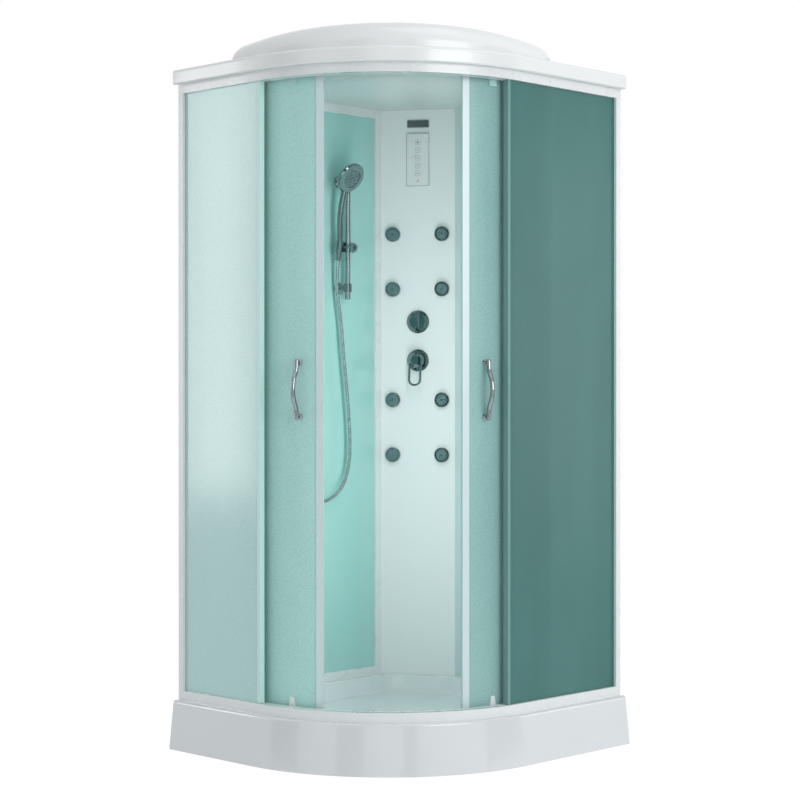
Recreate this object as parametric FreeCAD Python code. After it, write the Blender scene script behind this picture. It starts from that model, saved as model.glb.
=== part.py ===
import FreeCAD, Part
import math
import os

# Quadrant shower cabin, millimetres. X runs along the right wall, Y along the left wall, Z is up.
# The origin is the centre of the footprint on the floor. The room's corner is at (-X, +Y).

# Overall plan and heights
width = 900.0
depth = 1000.0
front_radius = 540.0
tray_height = 140.0
enclosure_height = 1784.0
fascia_height = 45.0
dome_height = 85.0
full_turn = 360.0
quarter_turn = 90.0
cut_over = 1.0
skin_gap = 0.3

# Tray
tray_flare = 16.5
tray_wall = 5.0
tray_edge_round = 8.0
tray_back_lip = 32.0
basin_depth = 48.0
basin_front_rim = 94.0
basin_wall_rim = 86.0
basin_column_rim = 30.0
basin_draft = 26.0
basin_corner_round = 95.0
basin_diagonal_round = 130.0
basin_floor_round = 16.0
drain_x = 90.0
drain_y = -90.0
drain_hole_radius = 43.0
drain_dish_radius = 70.0
drain_dish_depth = 2.5

# Steel carrier and feet under the tray
frame_tube = 25.0
frame_tube_wall = 2.0
frame_reach_share = 0.36
foot_stud_radius = 6.0
foot_pad_radius = 24.0
foot_pad_height = 9.0
foot_nut_radius = 11.0
foot_nut_height = 8.0

# Waste
waste_flange_radius = 56.0
waste_flange_height = 3.0
waste_cup_radius = 42.0
waste_cup_wall = 3.0
waste_cup_drop = 74.0
waste_outlet_radius = 20.0
waste_outlet_wall = 3.0
waste_neck_radius = 18.8
waste_neck_end = 110.0
waste_outlet_length = 190.0
cover_radius = 50.0
cover_thickness = 3.0
cover_stem_radius = 6.0
cover_stem_drop = 20.0

# Aluminium rails: section measured inward from the outer face and up from the free edge
enclosure_inset = 35.0
rail_height = 26.5
rail_face_wall = 2.0
rail_chamber = 7.0
glass_slot = 9.0
glass_slot_width = 7.0
slot_floor = 10.0
channel_start = 18.0
channel_width = 15.0
rail_ledge = 2.5
lip_thickness = 2.0
lip_height = 6.0
web_reach = 36.0

# Fixed glass, its edge strips and the slot fillers
glass_thickness = 5.0
glass_play = 1.0
left_fixed_spare = 15.0
right_fixed_bend_deg = 3.6
edge_strip_width = 9.0
edge_strip_wall = 1.5
edge_fin_reach = 9.0
edge_fin_thickness = 1.5

# Wall jambs at both ends of the rails
jamb_face = 20.0
jamb_wall = 3.0
jamb_pocket = 14.0
jamb_flange = 40.0

# Sliding doors
door_gap = 0.75
door_span_deg = 50.0
door_offset = 44.0
door_clearance = 9.5
left_swing_deg = 20.5
right_swing_deg = 21.5
left_pole_side = 20.0
left_pole_back = 70.0
right_pole_side = 30.0
right_pole_back = 100.0
edge_profile_width = 20.0
edge_profile_wall = 2.5
edge_magnet_width = 7.0

# Door hardware
front_bracket_deg = 12.0
rear_bracket_deg = 32.0
bracket_plate = 3.0
bracket_width = 24.0
bracket_top_drop = 22.0
bracket_top_rise = 14.0
boss_radius = 6.0
boss_play = 0.5
bracket_knob_radius = 13.0
bracket_knob_height = 9.0
wheel_radius = 9.0
wheel_width = 4.0
wheel_bore = 2.55
wheel_pin = 2.5
wheel_rim_depth = 1.2
wheel_ledge_gap = 0.3
guide_plate_high = 50.0
guide_boss_height = 38.0
guide_arm_height = 4.0
guide_finger_height = 14.0
guide_finger_width = 4.0
guide_arm_low = 5.0

# Door handles: a bow between two feet
handle_centre_height = 1040.0
handle_span = 150.0
handle_behind_edge_deg = 9.0
handle_reach = 46.0
handle_foot_reach = 17.0
handle_foot_flange = 2.5
handle_foot_neck = 5.0
handle_straight = 20.0
handle_tip = 3.0
handle_shoulder_bend = 60.0
handle_crest_bend = 80.0
handle_rod = 6.5
handle_foot_radius = 9.0
handle_screw_radius = 3.0
handle_cap_radius = 8.0
handle_cap_height = 5.0

# Back walls: aluminium frames with painted glass
wall_frame_front = 60.0
wall_frame_back = 25.0
wall_frame_bar = 26.0
wall_frame_wall = 3.0
wall_glass_front = 53.0
wall_glass_bite = 8.0
wall_glass_play = 0.5
column_on_left = 191.5
column_on_right = 256.0

# Column across the corner
column_sheet = 4.0

# Control panel and bare plate on the column
panel_width = 74.0
panel_height = 168.0
panel_thickness = 7.0
panel_round = 4.0
panel_centre_height = 1766.5
plate_width = 71.0
plate_height = 25.0
plate_thickness = 2.5
plate_centre_height = 1880.5

# Body jets
jet_spread = 157.0
jet_pitch = 173.5
jet_top_height = 1531.0
jet_lower_top_height = 1008.5
jet_ring_radius = 23.5
jet_ring_reach = 19.0
jet_ring_round = 2.5
jet_ball_radius = 20.0
jet_ball_centre = 15.5
jet_ball_gap = 0.3
jet_socket_floor = 2.0
jet_head_back = 8.0
jet_head_front = 8.5
jet_head_dish = 1.5
jet_head_rim = 2.5
jet_passage_radius = 5.0
jet_barrel_radius = 14.0
jet_barrel_length = 50.0
jet_nut_radius = 20.0
jet_nut_height = 7.0

# Diverter
diverter_height = 1255.0
diverter_plate_radius = 36.0
diverter_plate_reach = 9.0
diverter_knob_radius = 29.0
diverter_knob_reach = 13.0
diverter_grip_width = 8.0
diverter_grip_reach = 24.0
diverter_grip_length_share = 0.94
valve_body_radius = 22.0
valve_body_length = 48.0
valve_collar_radius = 15.0
spindle_radius = 5.0
spindle_play = 0.05

# Mixer with its loop lever
mixer_height = 1133.0
mixer_plate_radius = 35.0
mixer_plate_reach = 8.0
mixer_neck_radius = 18.0
mixer_neck_reach = 13.0
mixer_stem_radius = 9.0
mixer_cap_radius = 24.0
mixer_cap_back = 22.0
mixer_cap_front = 60.0
mixer_cap_wall = 3.0
mixer_pin_radius = 2.5
mixer_pivot_reach = 34.0
mixer_tongue_base = 30.0
mixer_tongue_width = 8.0
lever_wire = 3.4
lever_half_width = 17.5
lever_drop = 78.0
lever_tip_reach = 66.0
lever_bend = 17.0
lever_knee_bend = 20.0

# Slide bar on the left wall
bar_from_corner = 373.0
bar_off_glass = 41.0
bar_radius = 9.0
bar_wall = 1.5
bar_low = 1319.0
bar_length = 402.0
bar_cap_height = 4.0
bracket_from_end = 36.0
bar_bracket_radius = 18.0
bar_bracket_sleeve = 12.5
bar_bracket_height = 26.0

# Slider, holder and hand shower
slider_height = 1480.0
slider_sleeve_radius = 14.0
slider_bore_play = 0.06
slider_sleeve_height = 30.0
slider_barrel_radius = 13.5
slider_barrel_reach = 16.0
slider_knob_radius = 16.0
slider_knob_reach = 21.0
holder_offset = 36.0
holder_play = 0.05
holder_wall_reach = 12.2
holder_slot_width = 14.0
holder_radius = 16.0
holder_height = 30.0
holder_bore_low = 10.6
holder_bore_high = 12.6
holder_cap_radius = 9.0
holder_pivot_radius = 5.0
handset_lean_deg = 8.0
handset_grip_radius = 9.5
handset_bulge = 11.0
handset_bulge_height = 100.0
handset_grip_bend = 300.0
handset_cone_overhang = 4.0
handset_nut_radius = 9.5
handset_nut_length = 22.0
head_radius = 48.0
head_back_radius = 22.0
head_depth = 24.0
head_rim = 6.0
head_tilt_deg = 24.0
head_forward = 24.0
head_rise = 212.0
face_radius = 30.0
face_thickness = 4.0

# Hose and its wall outlet
hose_radius = 6.0
outlet_from_corner = 638.0
outlet_height = 1290.0
outlet_flange_radius = 27.0
outlet_flange_height = 6.0
outlet_radius = 11.0
outlet_stud_radius = 10.5
outlet_stud_length = 25.0
outlet_bend = 16.0
outlet_reach = 42.0
outlet_drop = 30.0
hose_nut_radius = 9.5
hose_nut_length = 18.0
hose_bend_share = 0.45
hose_first_run = 78.0
hose_last_run = 100.0
hose_route = [
    (392, 30, 1262), (384, 33, 1150), (370, 35, 1035), (360, 36, 925), (358, 36, 840),
    (371, 36, 771), (403, 36, 728), (448, 36, 701), (506, 36, 694), (572, 38, 716), (608, 40, 756),
    (628, 41, 820), (633, 42, 910), (637, 42, 1020),
]

# Water pipes behind the column
pipe_radius = 8.0
pipe_bend = 26.0
feed_bend = 13.0
inlet_thread_radius = 10.5
inlet_length = 30.0
inlet_height = 780.0
inlet_spread = 75.0

# Roof
roof_inset = 14.6
roof_wall = 3.5
fascia_low_round = 6.0
fascia_top_round = 9.0
ceiling_thickness = 4.0
roof_lap = 4.0
dome_front_inset = 36.0
dome_left_edge = -276.0
dome_right_edge = 242.0
dome_side_round = 95.0
dome_back_round = 160.0
dome_crown_radius = 2300.0
dome_shoulder_round = 52.0
dome_centre_x = 70.0
dome_centre_y = -110.0

# Ceiling lamp and fan
lamp_x = -235.0
lamp_y = -300.0
lamp_radius = 42.0
lamp_bezel_radius = 50.0
lamp_bezel_height = 4.0
lamp_lens_radius = 38.0
lens_depth = 2.0
lamp_body_height = 24.0
fan_x = 205.0
fan_y = 150.0
fan_duct_radius = 50.0
fan_duct_wall = 2.5
fan_duct_height = 46.0
fan_grille_radius = 66.0
fan_grille_height = 5.0
fan_slot_width = 6.0
fan_slot_count = 7
fan_hub_radius = 15.0
fan_hub_height = 18.0
fan_blade_tip = 45.0
fan_blade_count = 7
fan_blade_chord = 20.0
fan_blade_thickness = 1.6
fan_blade_pitch_deg = 32.0
fan_motor_height = 12.0
fan_strut_width = 6.0
fan_shaft_radius = 2.5

# Derived values
half_width = width / 2
half_depth = depth / 2
arc_x = half_width - front_radius
arc_y = front_radius - half_depth
enclosure_top = tray_height + enclosure_height
fascia_low = enclosure_top - roof_lap
fascia_top = fascia_low + fascia_height
left_straight = arc_x + half_width
left_fixed_length = left_straight - left_fixed_spare
right_straight = half_depth - arc_y
rail_radius = front_radius - enclosure_inset
glass_outer = glass_slot + glass_play
door_radius = rail_radius - door_offset
door_inner = door_radius - glass_thickness
door_low = tray_height + door_clearance
door_high = enclosure_top - door_clearance
middle_deg = -quarter_turn / 2
lead_deg = middle_deg - math.degrees(door_gap / door_radius)
tail_deg = lead_deg - door_span_deg
channel_middle = channel_start + channel_width / 2
wheel_plane_radius = rail_radius - channel_middle
wheel_height = enclosure_top - rail_height + rail_ledge + wheel_ledge_gap + wheel_radius
basin_floor = tray_height - basin_depth
up = FreeCAD.Vector(0, 0, 1)
along_x = FreeCAD.Vector(1, 0, 0)
along_y = FreeCAD.Vector(0, 1, 0)
origin = FreeCAD.Vector(0, 0, 0)
arc_centre = FreeCAD.Vector(arc_x, arc_y, 0)

os.makedirs("parts", exist_ok=True)


def vec(x, y, z):
    return FreeCAD.Vector(x, y, z)


def save(node, shape):
    shape.exportStep("parts/" + node + ".step")


# General forms

def corner_arc(before, corner, after, radius):
    """Start, middle and end of the arc that rounds one corner of a route."""
    back = (before - corner).normalize()
    ahead = (after - corner).normalize()
    half_angle = back.getAngle(ahead) / 2
    reach = radius / math.tan(half_angle)
    bisector = (back + ahead).normalize()
    centre = corner + bisector * (radius / math.sin(half_angle))
    return corner + back * reach, centre - bisector * radius, corner + ahead * reach


def rounded_wire(points, radii, closed):
    """Straight runs joined by tangent arcs through the given corners."""
    count = len(points)
    stops = []
    for index in range(count):
        is_end = not closed and index in (0, count - 1)
        if is_end or radii[index] == 0:
            stops.append((points[index], None, points[index]))
        else:
            after = points[(index + 1) % count]
            stops.append(corner_arc(points[index - 1], points[index], after, radii[index]))
    edges = []
    runs = count if closed else count - 1
    for index in range(count):
        start, middle, end = stops[index]
        if middle is not None:
            edges.append(Part.Arc(start, middle, end).toShape())
        if index < runs:
            edges.append(Part.LineSegment(end, stops[(index + 1) % count][0]).toShape())
    return Part.Wire(edges)


def level_wire(corners, height):
    """Closed level outline from corners given as x, y and rounding radius."""
    points = [vec(x, y, height) for x, y, radius in corners]
    return rounded_wire(points, [radius for x, y, radius in corners], True)


def prism(corners, low, high):
    return Part.Face(level_wire(corners, low)).extrude(vec(0, 0, high - low))


def drafted(low_corners, low, high_corners, high):
    return Part.makeLoft([level_wire(low_corners, low), level_wire(high_corners, high)], True, True)


def polygon_face(points):
    return Part.Face(Part.makePolygon(list(points) + [points[0]]))


def block(low, high):
    """Box between two opposite corners in any order."""
    start = vec(min(low.x, high.x), min(low.y, high.y), min(low.z, high.z))
    size = vec(abs(high.x - low.x), abs(high.y - low.y), abs(high.z - low.z))
    return Part.makeBox(size.x, size.y, size.z, start)


def turned_up(profile):
    """Solid of revolution about Z from corners given as radius and height."""
    face = polygon_face([vec(radius, 0, height) for radius, height in profile])
    return face.revolve(origin, up, full_turn)


def turned_out(profile):
    """Solid of revolution about X from corners given as reach and radius."""
    face = polygon_face([vec(reach, radius, 0) for reach, radius in profile])
    return face.revolve(origin, along_x, full_turn)


def rod(start, end, radius):
    run = end - start
    return Part.makeCylinder(radius, run.Length, start, run)


def tube(points, bends, radius):
    """Round bar along a route of straight runs and tangent arcs."""
    path = rounded_wire(points, bends, False)
    section = Part.Wire(Part.makeCircle(radius, points[0], points[1] - points[0]))
    return path.makePipeShell([section], True, False)


def plate_out(plate_width_y, plate_height_z, reach, corner_round):
    """Rounded upright plate that stands out along X from the plane X = 0."""
    side = plate_width_y / 2
    rise = plate_height_z / 2
    places = ((-side, -rise), (side, -rise), (side, rise), (-side, rise))
    points = [vec(0, y, z) for y, z in places]
    outline = rounded_wire(points, [corner_round] * len(points), True)
    return Part.Face(outline).extrude(vec(reach, 0, 0))


def joined(shapes):
    return shapes[0].multiFuse(shapes[1:]).removeSplitter()


def moved(shape, turn_deg, place, axis=up):
    copy = shape.copy()
    copy.rotate(origin, axis, turn_deg)
    copy.translate(place)
    return copy


def sheet_outline(points, thickness):
    """Corners of a bent sheet: one side follows the points, the metal lies on their left."""
    inner = []
    for index, point in enumerate(points):
        sides = []
        if index > 0:
            sides.append((point - points[index - 1]).normalize())
        if index < len(points) - 1:
            sides.append((points[index + 1] - point).normalize())
        normals = [vec(-side.y, side.x, 0) for side in sides]
        mean = (normals[0] + normals[-1]).normalize()
        inner.append(point + mean * (thickness / mean.dot(normals[0])))
    return list(points) + inner[::-1]


# Places on the cabin

def quadrant(inset, back_inset=0):
    """Corners of the footprint, drawn in from the front by inset and from the walls by back_inset."""
    left = -half_width + back_inset
    right = half_width - inset
    front = -half_depth + inset
    back = half_depth - back_inset
    return [(left, back, 0), (left, front, 0), (right, front, front_radius - inset), (right, back, 0)]


def left_wall(from_corner, off_wall, height):
    return vec(-half_width + off_wall, half_depth - from_corner, height)


def right_wall(from_corner, off_wall, height):
    return vec(-half_width + from_corner, half_depth - off_wall, height)


def at_arc(shape, angle_deg):
    """Turns a shape drawn with X as radius into its place on the front arc."""
    return moved(shape, angle_deg, arc_centre)


def ring_sector(outer, inner, start_deg, end_deg, low, high):
    """Curved wall about the front arc's centre."""
    def spot(radius, angle_deg):
        angle = math.radians(angle_deg)
        return vec(arc_x + radius * math.cos(angle), arc_y + radius * math.sin(angle), low)
    mid_deg = (start_deg + end_deg) / 2
    edges = [
        Part.Arc(spot(outer, start_deg), spot(outer, mid_deg), spot(outer, end_deg)).toShape(),
        Part.LineSegment(spot(outer, end_deg), spot(inner, end_deg)).toShape(),
        Part.Arc(spot(inner, end_deg), spot(inner, mid_deg), spot(inner, start_deg)).toShape(),
        Part.LineSegment(spot(inner, start_deg), spot(outer, start_deg)).toShape(),
    ]
    return Part.Face(Part.Wire(edges)).extrude(vec(0, 0, high - low))


def mirrored_across(shape):
    """Left-hand piece turned into its right-hand twin across the arc's middle line."""
    return shape.mirror(arc_centre, vec(1, 1, 0))


column_left = left_wall(column_on_left, wall_frame_front, 0)
column_right = right_wall(column_on_right, wall_frame_front, 0)
column_run = column_right - column_left
column_width = column_run.Length
column_turn_deg = math.degrees(math.atan2(column_run.y, column_run.x)) - quarter_turn
column_out = vec(column_run.y, -column_run.x, 0).normalize()
column_along = column_run * (1 / column_width)


def on_column(shape, from_middle, height):
    """Places a shape drawn standing out along X at the column's front face."""
    spot = column_left + column_along * (column_width / 2 + from_middle) + up * height
    return moved(shape, column_turn_deg, spot)


def on_left_glass(shape, from_corner, height):
    return moved(shape, 0, left_wall(from_corner, wall_glass_front, height))


# Tray

def column_line_corner(reach, fixed_x, fixed_y):
    """Where a line parallel to the column, reach in front of it, meets a given X or a given Y."""
    start = column_left + column_out * reach
    if fixed_x is not None:
        return start.y + (fixed_x - start.x) * column_along.y / column_along.x
    return start.x + (fixed_y - start.y) * column_along.x / column_along.y


def basin_corners(inset):
    left = -half_width + basin_wall_rim + inset
    back = half_depth - basin_wall_rim - inset
    right = half_width - basin_front_rim - inset
    front = -half_depth + basin_front_rim + inset
    reach = basin_column_rim + inset
    turn = basin_corner_round - inset
    diagonal = basin_diagonal_round - inset
    front_turn = front_radius - basin_front_rim - inset
    return [
        (left, column_line_corner(reach, left, None), diagonal),
        (left, front, turn),
        (right, front, front_turn),
        (right, back, turn),
        (column_line_corner(reach, None, back), back, diagonal),
    ]


def rounded_floor(solid, height, radius):
    edges = [edge for edge in solid.Edges if abs(edge.BoundBox.ZMax - height) < skin_gap
             and abs(edge.BoundBox.ZMin - height) < skin_gap]
    return solid.makeFillet(radius, edges)


def basin_void():
    bowl = drafted(basin_corners(basin_draft), basin_floor, basin_corners(0), tray_height)
    bowl = rounded_floor(bowl, basin_floor, basin_floor_round)
    lid = prism(basin_corners(0), tray_height, tray_height + cut_over)
    dish_place = vec(drain_x, drain_y, basin_floor - drain_dish_depth)
    dish = Part.makeCylinder(drain_dish_radius, basin_depth, dish_place)
    return bowl.fuse(lid).fuse(dish)


def tray_basin():
    outer = drafted(quadrant(0), 0, quadrant(tray_flare), tray_height)
    rim_edges = [edge for edge in outer.Edges if edge.BoundBox.ZMin > tray_height - skin_gap
                 and edge.BoundBox.YMin < half_depth - skin_gap and edge.BoundBox.XMax > skin_gap - half_width]
    outer = outer.makeFillet(tray_edge_round, rim_edges)
    hollow = drafted(quadrant(tray_wall, tray_wall), -cut_over, quadrant(tray_flare + tray_wall, tray_wall),
                     tray_height - tray_wall)
    open_back = prism(quadrant(tray_flare + tray_wall, -cut_over), -cut_over, tray_height - tray_back_lip)
    pan = drafted(basin_corners(basin_draft - tray_wall), basin_floor - tray_wall, basin_corners(-tray_wall),
                  tray_height - tray_wall)
    skin = outer.cut(hollow).cut(open_back).fuse(pan)
    hole = Part.makeCylinder(drain_hole_radius, tray_height, vec(drain_x, drain_y, 0))
    return skin.cut(basin_void()).cut(hole)


def square_bar(start, end):
    """Square steel tube between two points of its top centre line."""
    run = end - start
    side = frame_tube / 2
    outer = Part.makeBox(run.Length, frame_tube, frame_tube, vec(0, -side, -frame_tube))
    bore = Part.makeBox(run.Length + 2 * cut_over, frame_tube - 2 * frame_tube_wall,
                        frame_tube - 2 * frame_tube_wall,
                        vec(-cut_over, frame_tube_wall - side, frame_tube_wall - frame_tube))
    return moved(outer.cut(bore), math.degrees(math.atan2(run.y, run.x)), start)


frame_top = basin_floor - tray_wall
frame_x = width * frame_reach_share
frame_y = depth * frame_reach_share
foot_places = [(-frame_x, -frame_y), (-frame_x, 0), (0, frame_y), (frame_x, frame_y), (0, -frame_y),
               (frame_x, 0)]


def tray_frame():
    side = frame_tube / 2
    rails = [square_bar(vec(x, -frame_y + back, frame_top), vec(x, frame_y - ahead, frame_top))
             for x, back, ahead in ((-frame_x, 0, frame_x), (0, 0, 0), (frame_x, frame_x, 0))]
    ties = []
    for y, start, end in ((-frame_y, -frame_x, 0), (0, -frame_x, 0), (0, 0, frame_x), (frame_y, 0, frame_x)):
        ties.append(square_bar(vec(start + side, y, frame_top), vec(end - side, y, frame_top)))
    return joined(rails + ties)


def tray_feet():
    pad = turned_up([(0, 0), (foot_pad_radius, 0), (foot_pad_radius, foot_pad_height / 2),
                     (foot_stud_radius, foot_pad_height), (0, foot_pad_height)])
    top = frame_top - frame_tube
    stud = rod(up * (foot_pad_height / 2), up * top, foot_stud_radius)
    nut = hex_nut(foot_nut_radius, foot_nut_height)
    nut.translate(up * (top - foot_nut_height))
    foot = joined([pad, stud, nut])
    return Part.makeCompound([moved(foot, 0, vec(x, y, 0)) for x, y in foot_places])


def hex_nut(radius, height):
    sides = 6
    corners = [vec(radius * math.cos(2 * math.pi * step / sides), radius * math.sin(2 * math.pi * step / sides), 0)
               for step in range(sides)]
    return polygon_face(corners).extrude(vec(0, 0, height))


# Waste under the basin

dish_floor = basin_floor - drain_dish_depth
waste_low = dish_floor - waste_cup_drop
outlet_axis_height = waste_low + waste_cup_wall + waste_outlet_radius


def drain_trap():
    inner = waste_cup_radius - waste_cup_wall
    flange_top = dish_floor + waste_flange_height
    cup = turned_up([(0, waste_low), (waste_cup_radius, waste_low), (waste_cup_radius, dish_floor),
                     (waste_flange_radius, dish_floor), (waste_flange_radius - waste_flange_height, flange_top),
                     (inner, flange_top), (inner, waste_low + waste_cup_wall), (0, waste_low + waste_cup_wall)])
    nut_top = basin_floor - tray_wall - drain_dish_depth
    clamp = turned_up([(waste_cup_radius, nut_top - waste_cup_wall),
                       (waste_flange_radius, nut_top - waste_cup_wall),
                       (waste_flange_radius, nut_top), (waste_cup_radius, nut_top)])
    start = vec(-inner, 0, outlet_axis_height)
    end = vec(-waste_outlet_length, 0, outlet_axis_height)
    shoulder = vec(-waste_neck_end, 0, outlet_axis_height)
    outlet = rod(start, shoulder, waste_neck_radius).fuse(rod(shoulder, end, waste_outlet_radius))
    bore = rod(vec(-inner + waste_cup_wall, 0, outlet_axis_height), end - along_x * cut_over,
               waste_outlet_radius - waste_outlet_wall)
    body = joined([cup, clamp, outlet]).cut(bore)
    return moved(body, 0, vec(drain_x, drain_y, 0))


def drain_cover():
    low = dish_floor + waste_flange_height
    disc = turned_up([(0, low), (cover_radius, low), (cover_radius, low + cover_thickness / 2),
                      (cover_radius - cover_thickness, low + cover_thickness), (0, low + cover_thickness)])
    stem = rod(vec(0, 0, low - cover_stem_drop), vec(0, 0, low), cover_stem_radius)
    return moved(joined([disc, stem]), 0, vec(drain_x, drain_y, 0))


# Rails and jambs

def rail_section():
    """Aluminium section as inward distance and height above the free edge."""
    face = rail_face_wall
    pocket_end = glass_slot + glass_slot_width
    lip = channel_start + channel_width
    web = rail_height - rail_ledge
    return [
        (0, 0), (glass_slot, 0), (glass_slot, rail_height - slot_floor), (pocket_end, rail_height - slot_floor),
        (pocket_end, 0), (lip + lip_thickness, 0), (lip + lip_thickness, lip_height), (lip, lip_height),
        (lip, rail_ledge), (channel_start, rail_ledge), (channel_start, web), (web_reach, web),
        (web_reach, rail_height), (rail_chamber, rail_height), (rail_chamber, face), (face, face),
        (face, rail_height), (0, rail_height),
    ]


def curved_rail(foot_height, direction):
    """Rail swept along the front; its back web lies at foot_height and it grows in the given direction."""
    start = vec(jamb_face - half_width, enclosure_inset - half_depth, 0)
    corner = vec(half_width - enclosure_inset, enclosure_inset - half_depth, 0)
    end = vec(half_width - enclosure_inset, half_depth - jamb_face, 0)
    path = rounded_wire([start, corner, end], [0, rail_radius, 0], False)
    section = [start + vec(0, inward, direction * (rail_height - rise)) for inward, rise in rail_section()]
    outline = Part.makePolygon(section + [section[0]])
    rail = path.makePipeShell([outline], True, False)
    rail.translate(up * foot_height)
    return rail


jamb_rear = web_reach + jamb_wall


def jamb_section():
    pocket_end = glass_slot + glass_slot_width
    rear = jamb_rear
    return [
        (0, 0), (jamb_face, 0), (jamb_face, glass_slot), (jamb_face - jamb_pocket, glass_slot),
        (jamb_face - jamb_pocket, pocket_end), (jamb_face, pocket_end), (jamb_face, channel_start),
        (jamb_wall, channel_start), (jamb_wall, rear - jamb_wall), (jamb_flange, rear - jamb_wall),
        (jamb_flange, rear), (0, rear),
    ]


def left_jamb():
    points = [vec(from_wall - half_width, enclosure_inset - half_depth + inward, tray_height)
              for from_wall, inward in jamb_section()]
    return polygon_face(points).extrude(vec(0, 0, enclosure_height))


def right_jamb():
    twin = mirrored_across(left_jamb())
    twin.translate(vec(0, right_straight - left_straight, 0))
    return twin


# Fixed glass

glass_low = tray_height + slot_floor + skin_gap
glass_high = enclosure_top - slot_floor - skin_gap
clear_low = tray_height + rail_height + skin_gap
clear_high = enclosure_top - rail_height - skin_gap
fixed_outer = rail_radius - glass_outer
fixed_inner = fixed_outer - glass_thickness
glass_bite = jamb_face - jamb_pocket + glass_play


def left_fixed_glass():
    front = enclosure_inset - half_depth + glass_outer
    start = vec(glass_bite - half_width, front, glass_low)
    return block(start, vec(left_fixed_length - half_width, front + glass_thickness, glass_high))


def right_fixed_glass():
    side = half_width - enclosure_inset - glass_outer
    flat = block(vec(side, arc_y, glass_low), vec(side - glass_thickness, half_depth - glass_bite, glass_high))
    bend = ring_sector(fixed_outer, fixed_inner, -right_fixed_bend_deg, 0, glass_low, glass_high)
    return joined([flat, bend])


def edge_strip():
    """Clip on a free glass edge with a fin towards the door, drawn with X along the glass from the edge."""
    back = -edge_strip_width
    wall = edge_strip_wall
    play = skin_gap / 2
    near = glass_thickness + play
    deep = near + wall
    tip = deep + edge_fin_reach
    corners = [(back, -play), (back, -play - wall), (wall, -play - wall), (wall, tip),
               (wall - edge_fin_thickness, tip), (wall - edge_fin_thickness, deep), (back, deep), (back, near),
               (0, near), (0, -play)]
    face = polygon_face([vec(x, y, clear_low) for x, y in corners])
    return face.extrude(vec(0, 0, clear_high - clear_low))


def glazing_strips():
    front = enclosure_inset - half_depth + glass_outer
    left = moved(edge_strip(), 0, vec(left_fixed_length - half_width, front, 0))
    right = edge_strip().mirror(origin, vec(1, 0, 0))
    right.rotate(origin, up, quarter_turn)
    right.translate(vec(fixed_outer, 0, 0))
    right = at_arc(right, -right_fixed_bend_deg)
    filler_outer = rail_radius - glass_outer + glass_play / 2
    filler_inner = fixed_inner - glass_play / 2
    pieces = [left, right]
    for low, high in ((glass_low, clear_low - skin_gap), (clear_high + skin_gap, glass_high)):
        pieces.append(ring_sector(filler_outer, filler_inner, -quarter_turn, -2 * right_fixed_bend_deg, low, high))
    return Part.makeCompound(pieces)


# Sliding doors, drawn closed on the left side of the arc

def closed_door_glass():
    glass = ring_sector(door_radius, door_inner, tail_deg, lead_deg - profile_cover_deg, door_low, door_high)
    holes = []
    for angle_deg in bracket_angles:
        for height in (top_boss_height, guide_boss_level):
            holes.append(at_arc(arc_rod(height, boss_radius + boss_play), angle_deg))
    for height in handle_foot_heights:
        holes.append(at_arc(arc_rod(height, handle_screw_radius + boss_play), handle_deg))
    return glass.cut(Part.makeCompound(holes))


def arc_rod(height, radius):
    """Radial bar through the door glass, drawn with X as radius."""
    return rod(vec(door_inner - cut_over, 0, height), vec(door_radius + cut_over, 0, height), radius)


profile_cover_deg = math.degrees(edge_magnet_width / door_radius)
profile_deg = math.degrees(edge_profile_width / door_radius)
bracket_angles = (lead_deg - front_bracket_deg, lead_deg - rear_bracket_deg)
top_boss_height = door_high - bracket_top_drop
guide_boss_level = tray_height + guide_boss_height
handle_deg = lead_deg - handle_behind_edge_deg
handle_foot_heights = (handle_centre_height - handle_span / 2, handle_centre_height + handle_span / 2)


def closed_door_edge():
    """White profile with the magnet strip on the leading edge of the door."""
    outer = door_radius + edge_profile_wall
    inner = door_inner - edge_profile_wall
    body = ring_sector(outer, inner, lead_deg - profile_deg, lead_deg, door_low, door_high)
    pocket = ring_sector(door_radius + skin_gap / 2, door_inner - skin_gap / 2, lead_deg - profile_deg - 1,
                         lead_deg - profile_cover_deg + math.degrees(skin_gap / door_radius),
                         door_low - cut_over, door_high + cut_over)
    return body.cut(pocket)


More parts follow.
